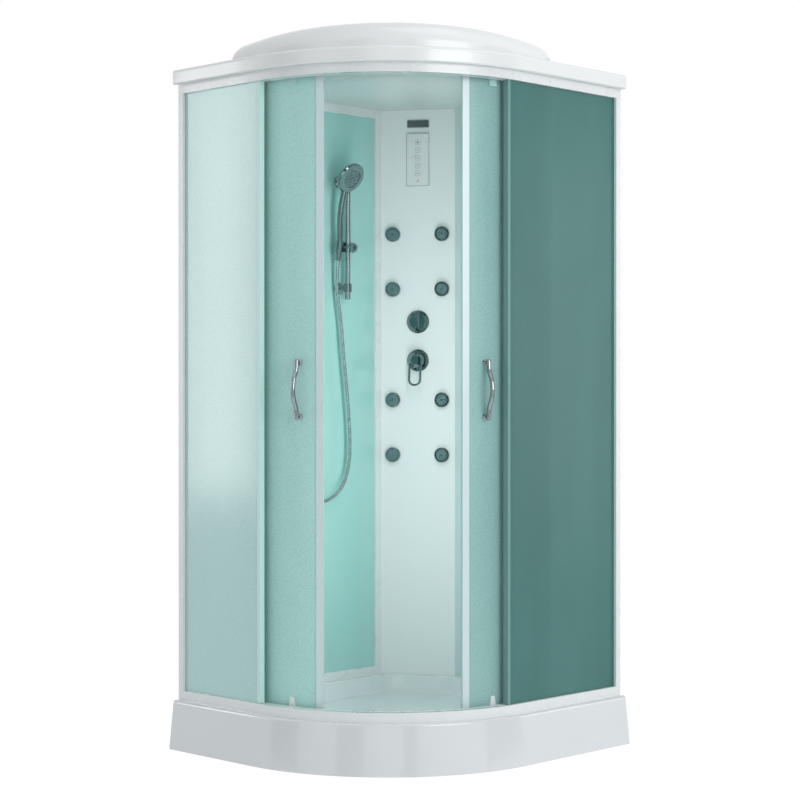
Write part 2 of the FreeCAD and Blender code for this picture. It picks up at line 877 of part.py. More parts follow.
def door_bracket(high):
    """Carrier on the door glass: inner knob, boss through the glass, outer plate and its axle or hook."""
    face = door_radius + skin_gap / 2
    if high:
        boss_at = top_boss_height
        low_z, high_z = top_boss_height - bracket_width / 2, wheel_height + bracket_top_rise / 2
    else:
        boss_at = guide_boss_level
        low_z, high_z = tray_height + guide_arm_low, tray_height + guide_plate_high
    wide = bracket_width / 2
    narrow = wide / 2
    low_side, high_side = (wide, wide) if high else (wide, narrow)
    corners = [vec(face, -low_side, low_z), vec(face, low_side, low_z), vec(face, high_side, high_z),
               vec(face, -high_side, high_z)]
    plate = polygon_face(corners).extrude(vec(bracket_plate, 0, 0))
    boss = rod(vec(door_inner - skin_gap, 0, boss_at), vec(face, 0, boss_at), boss_radius)
    knob_base = door_inner - skin_gap
    knob = turned_out([(0, 0), (0, bracket_knob_radius), (-bracket_knob_height / 2, bracket_knob_radius),
                       (-bracket_knob_height, bracket_knob_radius - bracket_knob_height / 2),
                       (-bracket_knob_height, 0)])
    knob.translate(vec(knob_base, 0, boss_at))
    pieces = [plate, boss, knob]
    if high:
        start = face + bracket_plate
        collar_end = wheel_plane_radius - wheel_width / 2 - skin_gap
        pieces.append(rod(vec(start, 0, wheel_height), vec(collar_end, 0, wheel_height), 2 * wheel_pin))
        pieces.append(rod(vec(start, 0, wheel_height), vec(wheel_plane_radius + wheel_width / 2, 0, wheel_height),
                          wheel_pin))
    else:
        finger_in = wheel_plane_radius - guide_finger_width / 2
        finger_out = finger_in + guide_finger_width
        side = narrow
        pieces.append(block(vec(face, -side, low_z), vec(finger_out, side, low_z + guide_arm_height)))
        pieces.append(block(vec(finger_in, -side, low_z), vec(finger_out, side, low_z + guide_finger_height)))
    return joined(pieces)


def closed_brackets():
    pieces = []
    for angle_deg in bracket_angles:
        for high in (True, False):
            pieces.append(at_arc(door_bracket(high), angle_deg))
    return Part.makeCompound(pieces)


def closed_wheel(angle_deg):
    half = wheel_width / 2
    wheel = turned_out([(-half, wheel_bore), (-half, wheel_radius - wheel_rim_depth),
                        (wheel_rim_depth - half, wheel_radius), (half - wheel_rim_depth, wheel_radius),
                        (half, wheel_radius - wheel_rim_depth), (half, wheel_bore)])
    wheel.translate(vec(wheel_plane_radius, 0, wheel_height))
    return at_arc(wheel, angle_deg)


def closed_handle():
    """Bow handle outside, with its two feet, screws and inner caps."""
    face = door_radius + skin_gap / 2
    low, high = handle_foot_heights
    near = face + handle_foot_reach
    points = [vec(near, 0, low - handle_tip), vec(near, 0, low + handle_straight),
              vec(face + handle_reach, 0, handle_centre_height), vec(near, 0, high - handle_straight),
              vec(near, 0, high + handle_tip)]
    bow = tube(points, [0, handle_shoulder_bend, handle_crest_bend, handle_shoulder_bend, 0], handle_rod)
    pieces = [bow, Part.makeSphere(handle_rod, points[0]), Part.makeSphere(handle_rod, points[-1])]
    for height in handle_foot_heights:
        foot = turned_out([(0, 0), (0, handle_foot_radius), (handle_foot_flange, handle_foot_radius),
                           (2 * handle_foot_flange, handle_foot_neck),
                           (handle_foot_reach, handle_foot_neck), (handle_foot_reach, 0)])
        foot.translate(vec(face, 0, height))
        screw = rod(vec(door_inner - handle_cap_height, 0, height), vec(face, 0, height), handle_screw_radius)
        cap = turned_out([(0, 0), (0, handle_cap_radius), (-handle_cap_height, handle_cap_radius / 2),
                          (-handle_cap_height, 0)])
        cap.translate(vec(door_inner - skin_gap, 0, height))
        pieces += [foot, screw, cap]
    return at_arc(joined(pieces), handle_deg)


def opened_left(shape):
    """Swings a closed left-hand piece about the left door's pole to where the door stands open."""
    copy = shape.copy()
    copy.rotate(vec(arc_x - left_pole_side, arc_y + left_pole_back, 0), up, -left_swing_deg)
    return copy


def opened_right(shape):
    copy = mirrored_across(shape)
    copy.rotate(vec(arc_x - right_pole_back, arc_y + right_pole_side, 0), up, right_swing_deg)
    return copy


# Back walls

def wall_frame(place, start, end):
    """Frame of aluminium bars along one wall; place turns wall distances into points."""
    low, high = tray_height, enclosure_top
    bar, wall = wall_frame_bar, wall_frame_wall
    solid = block(place(start, wall_frame_back, low), place(end, wall_frame_front, high))
    opening = block(place(start + bar, wall_frame_back - cut_over, low + bar),
                    place(end - bar, wall_frame_front + cut_over, high - bar))
    bite = bar - wall_glass_bite
    rebate = block(place(start + bite, wall_glass_front, low + bite),
                   place(end - bite, wall_glass_front - glass_thickness - wall_glass_play, high - bite))
    tray_side = block(place(start + wall, wall_frame_back - cut_over, low + wall),
                      place(end - wall, wall_glass_front - glass_thickness - 2 * wall, high - wall))
    inner_lip = bar - wall
    core = block(place(start + inner_lip, wall_frame_back - 2 * cut_over, low + inner_lip),
                 place(end - inner_lip, wall_glass_front, high - inner_lip))
    channel = tray_side.cut(core)
    return solid.cut(opening).cut(rebate).cut(channel)


def wall_glass(place, start, end):
    bite = wall_frame_bar - wall_glass_bite + wall_glass_play
    return block(place(start + bite, wall_glass_front, tray_height + bite),
                 place(end - bite, wall_glass_front - glass_thickness, enclosure_top - bite))


left_wall_end = depth - enclosure_inset - jamb_rear
right_wall_end = width - enclosure_inset - jamb_rear


def left_wall_glass():
    hole = rod(vec(-glass_thickness - cut_over, 0, 0), vec(cut_over, 0, 0), outlet_stud_radius + skin_gap)
    glass = wall_glass(left_wall, column_on_left, left_wall_end)
    return glass.cut(on_left_glass(hole, outlet_from_corner, outlet_height))


# Column with its fittings

def column_panel():
    points = [left_wall(column_on_left, wall_frame_back, tray_height),
              left_wall(column_on_left, wall_frame_front, tray_height),
              right_wall(column_on_right, wall_frame_front, tray_height),
              right_wall(column_on_right, wall_frame_back, tray_height)]
    sheet = polygon_face(sheet_outline(points, column_sheet)).extrude(vec(0, 0, enclosure_height))
    holes = []
    for side, height in jet_places:
        holes.append(on_column(sheet_hole(jet_barrel_radius), side, height))
    for height in (diverter_height, mixer_height):
        holes.append(on_column(sheet_hole(valve_collar_radius), 0, height))
    return sheet.cut(Part.makeCompound(holes))


def sheet_hole(radius):
    return rod(vec(-column_sheet - cut_over, 0, 0), vec(cut_over, 0, 0), radius + skin_gap)


jet_rows = (jet_top_height, jet_top_height - jet_pitch, jet_lower_top_height, jet_lower_top_height - jet_pitch)
jet_places = [(side * jet_spread / 2, height) for height in jet_rows for side in (-1, 1)]


def jet_body():
    edge = jet_ring_radius - jet_ring_round
    ring = turned_out([(0, 0), (0, jet_ring_radius), (jet_ring_reach - jet_ring_round, jet_ring_radius),
                       (jet_ring_reach, edge), (jet_ring_reach, 0)])
    barrel = rod(vec(-jet_barrel_length, 0, 0), vec(0, 0, 0), jet_barrel_radius)
    nut = hex_nut(jet_nut_radius, jet_nut_height)
    nut.rotate(origin, along_y, -quarter_turn)
    nut.translate(vec(-column_sheet, 0, 0))
    socket = ball_slice(jet_ball_radius + jet_ball_gap, jet_socket_floor, jet_ring_reach + cut_over)
    passage = rod(vec(-jet_barrel_length - cut_over, 0, 0), vec(jet_ball_centre, 0, 0), jet_passage_radius)
    return joined([ring, barrel, nut]).cut(socket).cut(passage)


def ball_slice(radius, back, front):
    """Slice of the jet's ball between two planes across X."""
    def spot(reach):
        return vec(reach, math.sqrt(radius ** 2 - (reach - jet_ball_centre) ** 2), 0)
    low = vec(back, 0, 0)
    high = vec(front, 0, 0)
    edges = [
        Part.LineSegment(low, spot(back)).toShape(),
        Part.Arc(spot(back), spot(jet_ball_centre), spot(front)).toShape(),
        Part.LineSegment(spot(front), high).toShape(),
        Part.LineSegment(high, low).toShape(),
    ]
    return Part.Face(Part.Wire(edges)).revolve(origin, along_x, full_turn)


def jet_head():
    """Swivelling nozzle puck: a slice of a ball with a sunk face."""
    front = jet_ball_centre + jet_head_front
    dish_radius = math.sqrt(jet_ball_radius ** 2 - jet_head_front ** 2) - jet_head_rim
    dish = Part.makeCylinder(dish_radius, jet_head_dish + cut_over, vec(front - jet_head_dish, 0, 0), along_x)
    return ball_slice(jet_ball_radius, jet_ball_centre - jet_head_back, front).cut(dish)


def valve_body(extra):
    """Brass body behind the column with a collar through it, joined to what shows in front."""
    body = rod(vec(-column_sheet - valve_body_length, 0, 0), vec(-column_sheet, 0, 0), valve_body_radius)
    collar = rod(vec(-column_sheet, 0, 0), vec(0, 0, 0), valve_collar_radius)
    return joined([body, collar] + extra)


def diverter_body():
    reach = diverter_plate_reach
    plate = turned_out([(0, 0), (0, diverter_plate_radius), (reach / 2, diverter_plate_radius),
                        (reach, diverter_plate_radius - reach / 2), (reach, 0)])
    bore = rod(vec(-valve_body_length / 2, 0, 0), vec(reach + cut_over, 0, 0), spindle_radius + spindle_play)
    return on_column(valve_body([plate]).cut(bore), 0, diverter_height)


def diverter_knob():
    base = diverter_plate_reach + skin_gap
    front = base + diverter_knob_reach
    edge = diverter_knob_reach / 3
    disc = turned_out([(base, 0), (base, diverter_knob_radius), (front - edge, diverter_knob_radius),
                       (front, diverter_knob_radius - edge), (front, 0)])
    reach = base + diverter_grip_reach
    span = diverter_knob_radius * diverter_grip_length_share
    grip_half = diverter_grip_width / 2
    profile = [vec(base, 0, -span), vec(front, 0, -span), vec(reach, 0, -span / 2), vec(reach, 0, span / 2),
               vec(front, 0, span), vec(base, 0, span)]
    grip = polygon_face(profile).extrude(vec(0, diverter_grip_width, 0))
    grip.translate(vec(0, -grip_half, 0))
    spindle = rod(vec(-valve_body_length / 2 + skin_gap, 0, 0), vec(base, 0, 0), spindle_radius)
    return on_column(joined([disc, grip, spindle]), 0, diverter_height)


def mixer_body():
    reach = mixer_plate_reach
    plate = turned_out([(0, 0), (0, mixer_plate_radius), (reach / 2, mixer_plate_radius),
                        (reach, mixer_plate_radius - reach / 2), (reach, mixer_neck_radius),
                        (mixer_neck_reach, mixer_neck_radius), (mixer_neck_reach, 0)])
    bore = rod(vec(-valve_body_length / 2, 0, 0), vec(mixer_neck_reach + cut_over, 0, 0),
               mixer_stem_radius + spindle_play)
    return on_column(valve_body([plate]).cut(bore), 0, mixer_height)


def mixer_stem():
    """Cartridge stem that turns for temperature, with the tongue that the lever tips on."""
    post = rod(vec(skin_gap - valve_body_length / 2, 0, 0), vec(mixer_tongue_base, 0, 0), mixer_stem_radius)
    tongue_half = mixer_tongue_width / 2
    tongue = block(vec(mixer_tongue_base, -tongue_half, -mixer_stem_radius / 2),
                   vec(mixer_pivot_reach + mixer_stem_radius / 2, tongue_half, mixer_stem_radius / 2))
    eye = rod(vec(mixer_pivot_reach, -mixer_stem_radius, 0), vec(mixer_pivot_reach, mixer_stem_radius, 0),
              mixer_pin_radius + spindle_play)
    return on_column(joined([post, tongue]).cut(eye), 0, mixer_height)


def mixer_lever():
    """Hollow cap with its cross pin and the wire loop that hangs from it."""
    back, front = mixer_cap_back, mixer_cap_front
    outer, wall = mixer_cap_radius, mixer_cap_wall
    shoulder = (front - back) / 3
    cap = turned_out([(back, outer - wall), (back, outer), (front - shoulder, outer),
                      (front - shoulder / 3, outer - shoulder / 2), (front, outer / 2), (front, 0),
                      (front - wall, 0), (front - wall, outer / 2 - wall / 2),
                      (front - shoulder, outer - shoulder / 2 - wall), (front - shoulder - wall, outer - wall)])
    pin = rod(vec(mixer_pivot_reach, -outer + wall / 2, 0), vec(mixer_pivot_reach, outer - wall / 2, 0),
              mixer_pin_radius)
    side = lever_half_width
    root = vec(front - shoulder, side, -outer / 3)
    knee = vec(front - lever_wire, side, lever_wire - outer)
    tip = vec(lever_tip_reach, side, -lever_drop)
    flip = vec(0, -2 * side, 0)
    points = [root, knee, tip, tip + flip, knee + flip, root + flip]
    loop = tube(points, [0, lever_knee_bend, lever_bend, lever_bend, lever_knee_bend, 0], lever_wire)
    return on_column(joined([cap, pin, loop]), 0, mixer_height)


# Water pipes behind the column

def water_pipes():
    """Risers to the jets, the links between the valves and the two threaded inlets."""
    side = jet_spread / 2
    riser_back = -jet_barrel_length - pipe_radius
    low = jet_rows[-1] - pipe_radius
    high = jet_rows[0] + 2 * pipe_bend
    risers = tube([vec(riser_back, -side, low), vec(riser_back, -side, high), vec(riser_back, side, high),
                   vec(riser_back, side, low)], [0, pipe_bend, pipe_bend, 0], pipe_radius)
    valve_back = -column_sheet - valve_body_length
    link_back = valve_back - pipe_radius
    link = rod(vec(link_back, -side, diverter_height), vec(link_back, side, diverter_height), pipe_radius)
    middle = valve_back + valve_body_radius
    bridge = rod(vec(middle, 0, mixer_height + valve_body_radius),
                 vec(middle, 0, diverter_height - valve_body_radius), pipe_radius)
    pieces = [risers, link]
    lone = [bridge]
    for hand in (-1, 1):
        out = hand * inlet_spread / 2
        feed = tube([vec(middle, hand * valve_body_radius, mixer_height), vec(middle, out, mixer_height),
                     vec(middle, out, inlet_height)], [0, feed_bend, 0], pipe_radius)
        stub = rod(vec(middle, out, inlet_height), vec(middle, out, inlet_height + inlet_length),
                   inlet_thread_radius)
        lone.append(joined([feed, stub]))
    return on_column(Part.makeCompound([joined(pieces)] + lone), 0, 0)


# Parts on the left glass wall

def slide_bar():
    low = bar_low
    high = bar_low + bar_length
    pipe = rod(vec(bar_off_glass, 0, low), vec(bar_off_glass, 0, high), bar_radius)
    bore = rod(vec(bar_off_glass, 0, low + bar_cap_height), vec(bar_off_glass, 0, high - bar_cap_height),
               bar_radius - bar_wall)
    return on_left_glass(pipe.cut(bore), bar_from_corner, 0)


bar_bracket_heights = (bar_low + bracket_from_end, bar_low + bar_length - bracket_from_end)


def bar_brackets():
    pieces = []
    for height in bar_bracket_heights:
        foot = turned_out([(0, 0), (0, bar_bracket_radius), (bar_cap_height, bar_bracket_radius),
                           (bar_off_glass / 3, bar_radius), (bar_off_glass, bar_radius), (bar_off_glass, 0)])
        sleeve = rod(vec(bar_off_glass, 0, -bar_bracket_height / 2),
                     vec(bar_off_glass, 0, bar_bracket_height / 2), bar_bracket_sleeve)
        bore = rod(vec(bar_off_glass, 0, -bar_bracket_height), vec(bar_off_glass, 0, bar_bracket_height),
                   bar_radius + skin_gap / 3)
        pieces.append(on_left_glass(joined([foot, sleeve]).cut(bore), bar_from_corner, height))
    return Part.makeCompound(pieces)


def slider():
    sleeve = rod(vec(bar_off_glass, 0, -slider_sleeve_height / 2),
                 vec(bar_off_glass, 0, slider_sleeve_height / 2), slider_sleeve_radius)
    barrel = rod(vec(bar_off_glass, -slider_barrel_reach, 0), vec(bar_off_glass, slider_barrel_reach, 0),
                 slider_barrel_radius)
    knob = Part.makeSphere(slider_knob_radius, vec(bar_off_glass, slider_knob_reach, 0))
    pivot_end = holder_play + holder_wall_reach - holder_offset
    pivot = rod(vec(bar_off_glass, 0, 0), vec(bar_off_glass, pivot_end, 0), holder_pivot_radius)
    bore = rod(vec(bar_off_glass, 0, -slider_sleeve_height), vec(bar_off_glass, 0, slider_sleeve_height),
               bar_radius + slider_bore_play)
    return on_left_glass(joined([sleeve, barrel, knob, pivot]).cut(bore), bar_from_corner, slider_height)


def in_hand(shape):
    """Leans a piece drawn upright about the holder's pivot and puts it in the holder's place."""
    leaned = moved(shape, handset_lean_deg, vec(bar_off_glass, 0, 0), along_y)
    return on_left_glass(leaned, bar_from_corner + holder_offset, slider_height)


def cone(low, low_radius, high, high_radius):
    return Part.makeCone(low_radius, high_radius, high - low, vec(0, 0, low))


cup_half = holder_height / 2
cup_taper = (holder_bore_high - holder_bore_low) / holder_height


def holder():
    cup = rod(vec(0, 0, -cup_half), vec(0, 0, cup_half), holder_radius)
    hub = rod(vec(0, 0, 0), vec(0, holder_offset - slider_barrel_reach - skin_gap, 0), holder_cap_radius)
    over = cut_over * cup_taper
    seat = cone(-cup_half - cut_over, holder_bore_low - over, cup_half + cut_over, holder_bore_high + over)
    slot = block(vec(0, -holder_slot_width / 2, -holder_height),
                 vec(holder_height, holder_slot_width / 2, holder_height))
    eye = rod(vec(0, holder_wall_reach, 0), vec(0, holder_offset, 0), holder_pivot_radius + spindle_play)
    return in_hand(joined([cup, hub]).cut(seat).cut(slot).cut(eye))


def head_in_place(shape):
    """Tips a shape drawn with X as the spray direction to its place at the top of the handset."""
    return moved(shape, head_tilt_deg, vec(head_forward, 0, head_rise), along_y)


def hand_shower():
    low = -cup_half - handset_cone_overhang
    high = cup_half + handset_cone_overhang
    seat = cone(low, holder_bore_low - holder_play - handset_cone_overhang * cup_taper, high,
                holder_bore_high - holder_play + handset_cone_overhang * cup_taper)
    nut = rod(vec(0, 0, low - handset_nut_length), vec(0, 0, low), handset_nut_radius)
    neck = vec(head_forward - head_depth, 0, head_rise - head_depth)
    grip = tube([vec(0, 0, high), vec(0, -handset_bulge, handset_bulge_height), neck],
                [0, handset_grip_bend, 0], handset_grip_radius)
    head = turned_out([(-head_depth, 0), (-head_depth, head_back_radius), (-head_rim, head_radius),
                       (0, head_radius), (head_rim / 2, head_radius - head_rim / 2), (head_rim / 2, 0)])
    recess = rod(vec(-face_thickness / 2, 0, 0), vec(head_depth, 0, 0), face_radius + skin_gap)
    return in_hand(joined([seat, nut, grip, head_in_place(head)]).cut(head_in_place(recess)))


def spray_face():
    base = -face_thickness / 2
    disc = turned_out([(base, 0), (base, face_radius), (base + face_thickness - cut_over, face_radius),
                       (base + face_thickness, face_radius - cut_over), (base + face_thickness, 0)])
    return in_hand(head_in_place(disc))


# Hose from the handset round to its wall outlet

def hose_points():
    """Route as distance from the corner, distance off the glass and height."""
    nut_drop = cup_half + handset_cone_overhang + handset_nut_length
    lean = math.radians(handset_lean_deg)
    head_end = [(bar_from_corner + holder_offset, bar_off_glass - drop * math.sin(lean),
                 slider_height - drop * math.cos(lean)) for drop in (nut_drop, nut_drop + hose_first_run)]
    nut_low = outlet_height - outlet_drop - hose_nut_length
    wall_end = [(outlet_from_corner, outlet_reach, nut_low - hose_last_run),
                (outlet_from_corner, outlet_reach, nut_low)]
    return [left_wall(from_corner, wall_glass_front + off_glass, height)
            for from_corner, off_glass, height in head_end + hose_route + wall_end]


def hose():
    points = hose_points()
    radii = [0]
    for index in range(1, len(points) - 1):
        before = points[index] - points[index - 1]
        after = points[index + 1] - points[index]
        half_bend = before.getAngle(after) / 2
        radii.append(hose_bend_share * min(before.Length, after.Length) / math.tan(half_bend))
    radii.append(0)
    cord = tube(points, radii, hose_radius)
    length = rounded_wire(points, radii, False).Length
    print("hose bends", [round(radius) for radius in radii[1:-1]])
    print("hose length", round(length), "volume over section times length",
          round(cord.Volume / (math.pi * hose_radius ** 2 * length), 3))
    return cord


def hose_outlet():
    """Wall elbow: flange on the glass, stud through it, elbow and the union nut that takes the hose."""
    flange = turned_out([(0, 0), (0, outlet_flange_radius), (outlet_flange_height / 2, outlet_flange_radius),
                         (outlet_flange_height, outlet_flange_radius - outlet_flange_height),
                         (outlet_flange_height, 0)])
    stud = rod(vec(-outlet_stud_length, 0, 0), vec(0, 0, 0), outlet_stud_radius)
    elbow = tube([vec(0, 0, 0), vec(outlet_reach, 0, 0), vec(outlet_reach, 0, -outlet_drop)],
                 [0, outlet_bend, 0], outlet_radius)
    nut = rod(vec(outlet_reach, 0, -outlet_drop - hose_nut_length), vec(outlet_reach, 0, -outlet_drop),
              hose_nut_radius)
    lock = hex_nut(outlet_flange_radius / 2 + outlet_flange_height, outlet_flange_height)
    lock.rotate(origin, along_y, -quarter_turn)
    lock.translate(vec(-glass_thickness, 0, 0))
    return on_left_glass(joined([flange, stud, elbow, nut, lock]), outlet_from_corner, outlet_height)


# Roof

def dome_corners(inset):
    right = half_width - dome_front_inset - inset
    front = dome_front_inset + inset - half_depth
    left = dome_left_edge + inset
    back = dome_right_edge - inset
    return [(left, back, dome_back_round - inset), (left, front, dome_side_round - inset),
            (right, front, front_radius - dome_front_inset - inset), (right, back, dome_side_round - inset)]


def crown_ball(inset):
    """Ball that gives the dome its crown, with its poles off to the sides."""
    height = fascia_top + dome_height - dome_crown_radius
    return Part.makeSphere(dome_crown_radius - inset, vec(dome_centre_x, dome_centre_y, height), along_x)


def dome_form():
    """Crowned block with a rounded shoulder."""
    crown = fascia_top + dome_height
    capped = prism(dome_corners(0), fascia_low + fascia_height / 2, crown + cut_over).common(crown_ball(0))
    rim = [edge for edge in capped.Edges
           if edge.BoundBox.ZMin > fascia_top + cut_over and edge.BoundBox.ZMax < crown]
    upright = [edge for edge in rim if edge.BoundBox.ZMax - edge.BoundBox.ZMin > dome_shoulder_round]
    return capped.makeFillet(dome_shoulder_round, [edge for edge in rim if edge not in upright])


def dome_room(low):
    """Hollow under the dome, with plain slopes inside the rounded shoulder."""
    reach = dome_shoulder_round - roof_wall
    sections = [level_wire(dome_corners(roof_wall), low)]
    for angle_deg in (0, quarter_turn / 2, quarter_turn):
        angle = math.radians(angle_deg)
        inset = roof_wall + reach * (1 - math.cos(angle))
        height = fascia_top + reach * math.sin(angle)
        sections.append(level_wire(dome_corners(inset), height))
    sections.append(level_wire(dome_corners(dome_shoulder_round), fascia_top + dome_height))
    return Part.makeLoft(sections, True, True).common(crown_ball(roof_wall))


def roof_shell():
    outer = prism(quadrant(roof_inset), fascia_low, fascia_top)
    front_edges = [edge for edge in outer.Edges if on_front(edge)]
    low_edges = [edge for edge in front_edges if edge.BoundBox.ZMax < fascia_low + skin_gap]
    top_edges = [edge for edge in front_edges if edge.BoundBox.ZMin > fascia_top - skin_gap]
    outer = outer.makeFillet(fascia_top_round, top_edges).makeChamfer(fascia_low_round, low_edges)
    shell = outer.fuse(dome_form())
    inset = roof_inset + roof_wall
    ledge = enclosure_top + ceiling_thickness
    skirt_room = prism(quadrant(inset, -cut_over), fascia_low - cut_over, enclosure_top)
    low_room = prism(quadrant(inset, roof_wall), enclosure_top - cut_over, ledge)
    lip = prism(quadrant(inset + roof_lap, roof_wall + roof_lap), ledge, ledge + roof_wall)
    high_room = prism(quadrant(inset, roof_wall), ledge + roof_wall, fascia_top - roof_wall)
    return shell.cut(skirt_room).cut(low_room).cut(lip).cut(high_room).cut(dome_room(ledge + roof_wall))


def on_front(edge):
    box = edge.BoundBox
    return box.YMin < half_depth - skin_gap and box.XMax > skin_gap - half_width


def ceiling_panel():
    low = enclosure_top
    inset = roof_inset + roof_wall + skin_gap
    sheet = prism(quadrant(inset, roof_wall + skin_gap), low, low + ceiling_thickness)
    lamp_hole = Part.makeCylinder(lamp_radius + skin_gap, fascia_height, vec(lamp_x, lamp_y, fascia_low))
    fan_hole = Part.makeCylinder(fan_duct_radius + skin_gap, fascia_height, vec(fan_x, fan_y, fascia_low))
    return sheet.cut(lamp_hole).cut(fan_hole)


def roof_lamp():
    low = -lamp_bezel_height
    body = turned_up([(0, low + lens_depth), (lamp_lens_radius, low + lens_depth), (lamp_lens_radius, low),
                      (lamp_bezel_radius - lamp_bezel_height / 2, low), (lamp_bezel_radius, low / 2),
                      (lamp_bezel_radius, 0), (lamp_radius, 0), (lamp_radius, lamp_body_height),
                      (0, lamp_body_height)])
    return moved(body, 0, vec(lamp_x, lamp_y, enclosure_top))


def fan_housing():
    top = fan_duct_height
    ring = turned_up([(fan_duct_radius - fan_duct_wall, -fan_grille_height),
                      (fan_grille_radius, -fan_grille_height / 2),
                      (fan_grille_radius, 0), (fan_duct_radius, 0), (fan_duct_radius, top),
                      (fan_duct_radius - fan_duct_wall, top)])
    pieces = [ring]
    pitch = 2 * fan_duct_radius / (fan_slot_count + 1)
    for index in range(fan_slot_count):
        y = pitch * (index + 1) - fan_duct_radius
        half = math.sqrt(fan_duct_radius ** 2 - y ** 2) - fan_duct_wall / 2
        pieces.append(block(vec(-half, y - fan_slot_width / 4, -fan_grille_height),
                            vec(half, y + fan_slot_width / 4, 0)))
    arm = fan_duct_radius - fan_duct_wall / 2
    side = fan_strut_width / 2
    for turn_deg in (0, quarter_turn):
        strut = block(vec(-arm, -side, top - fan_strut_width), vec(arm, side, top))
        pieces.append(moved(strut, turn_deg, origin))
    pieces.append(Part.makeCylinder(fan_hub_radius, fan_motor_height, vec(0, 0, top - fan_motor_height)))
    shaft_low = top - fan_motor_height - fan_hub_height
    pieces.append(Part.makeCylinder(fan_shaft_radius, fan_hub_height, vec(0, 0, shaft_low)))
    return moved(joined(pieces), 0, vec(fan_x, fan_y, enclosure_top))


def fan_rotor():
    high = fan_duct_height - fan_motor_height - skin_gap
    low = high - fan_hub_height
    hub = Part.makeCylinder(fan_hub_radius, fan_hub_height, vec(0, 0, low))
    pieces = [hub]
    for index in range(fan_blade_count):
        blade = Part.makeBox(fan_blade_tip - fan_hub_radius + cut_over, fan_blade_chord, fan_blade_thickness,
                             vec(fan_hub_radius - cut_over, -fan_blade_chord / 2, -fan_blade_thickness / 2))
        blade.rotate(origin, along_x, fan_blade_pitch_deg)
        blade.translate(up * (low + fan_hub_height / 2))
        pieces.append(moved(blade, full_turn * index / fan_blade_count, origin))
    bore = Part.makeCylinder(fan_shaft_radius + spindle_play, fan_hub_height + 2 * cut_over,
                             vec(0, 0, low - cut_over))
    return moved(joined(pieces).cut(bore), 0, vec(fan_x, fan_y, enclosure_top))


# Save every piece

save("tray_basin", tray_basin())
save("tray_frame", tray_frame())
save("tray_feet", tray_feet())
save("drain_trap", drain_trap())
save("drain_cover", drain_cover())
save("rail_bottom", curved_rail(tray_height, 1))
save("rail_top", curved_rail(enclosure_top, -1))
save("jamb_left", left_jamb())
save("jamb_right", right_jamb())
save("fixed_glass_left", left_fixed_glass())
save("fixed_glass_right", right_fixed_glass())
save("fixed_seals", glazing_strips())
for side, opened in (("left", opened_left), ("right", opened_right)):
    save("door_glass_" + side, opened(closed_door_glass()))
    save("door_edge_" + side, opened(closed_door_edge()))
    save("handle_" + side, opened(closed_handle()))
    save("roller_brackets_" + side, opened(closed_brackets()))
    for place, angle_deg in zip(("front", "rear"), bracket_angles):
        save("wheel_" + side + "_" + place, opened(closed_wheel(angle_deg)))
save("wall_frame_left", wall_frame(left_wall, column_on_left, left_wall_end))
save("wall_frame_right", wall_frame(right_wall, column_on_right, right_wall_end))
save("wall_glass_left", left_wall_glass())
save("wall_glass_right", wall_glass(right_wall, column_on_right, right_wall_end))
save("column_panel", column_panel())
save("control_panel", on_column(plate_out(panel_width, panel_height, panel_thickness, panel_round),
                                0, panel_centre_height))
save("badge_plate", on_column(plate_out(plate_width, plate_height, plate_thickness, panel_round),
                              0, plate_centre_height))
save("jet_bodies", Part.makeCompound([on_column(jet_body(), side, height) for side, height in jet_places]))
for number, (side, height) in enumerate(jet_places, 1):
    save("jet_head_" + str(number), on_column(jet_head(), side, height))
save("diverter_body", diverter_body())
save("diverter_knob", diverter_knob())
save("mixer_body", mixer_body())
save("mixer_stem", mixer_stem())
save("mixer_lever", mixer_lever())
save("water_pipes", water_pipes())
save("slide_bar", slide_bar())
save("bar_brackets", bar_brackets())
save("slider", slider())
save("holder", holder())
save("hand_shower", hand_shower())
save("spray_face", spray_face())
save("hose", hose())
save("hose_outlet", hose_outlet())
save("roof_shell", roof_shell())
save("ceiling_panel", ceiling_panel())
save("roof_lamp", roof_lamp())
save("fan_housing", fan_housing())
save("fan_rotor", fan_rotor())
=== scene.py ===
import math

import bmesh
import bpy
from mathutils import Matrix, Vector


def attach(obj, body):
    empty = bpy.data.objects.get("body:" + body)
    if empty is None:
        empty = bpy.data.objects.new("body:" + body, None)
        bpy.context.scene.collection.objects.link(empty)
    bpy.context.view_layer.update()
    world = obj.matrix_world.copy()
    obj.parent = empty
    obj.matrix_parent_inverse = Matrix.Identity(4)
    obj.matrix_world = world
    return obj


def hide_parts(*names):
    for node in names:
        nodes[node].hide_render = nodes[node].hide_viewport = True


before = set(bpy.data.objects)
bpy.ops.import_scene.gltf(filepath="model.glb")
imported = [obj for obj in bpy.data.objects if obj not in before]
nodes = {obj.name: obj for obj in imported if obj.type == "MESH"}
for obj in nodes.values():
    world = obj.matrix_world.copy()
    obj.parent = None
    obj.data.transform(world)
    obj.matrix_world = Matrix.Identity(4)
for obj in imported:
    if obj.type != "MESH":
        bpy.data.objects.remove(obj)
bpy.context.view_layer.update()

MM = 0.001
scene = bpy.context.scene


def add_object(name, data):
    item = bpy.data.objects.new(name, data)
    scene.collection.objects.link(item)
    return item


# Camera at the photograph's viewing angle.

CAMERA_PLACE = (3.86624, -3.94777, 1.03349)
CAMERA_DIP_DEGREES = 0.2445
CAMERA_HEADING_DEGREES = 44.440
CAMERA_LENS_MM = 85.352
CAMERA_SENSOR_MM = 36.0
CAMERA_FAR_LIMIT = 60.0


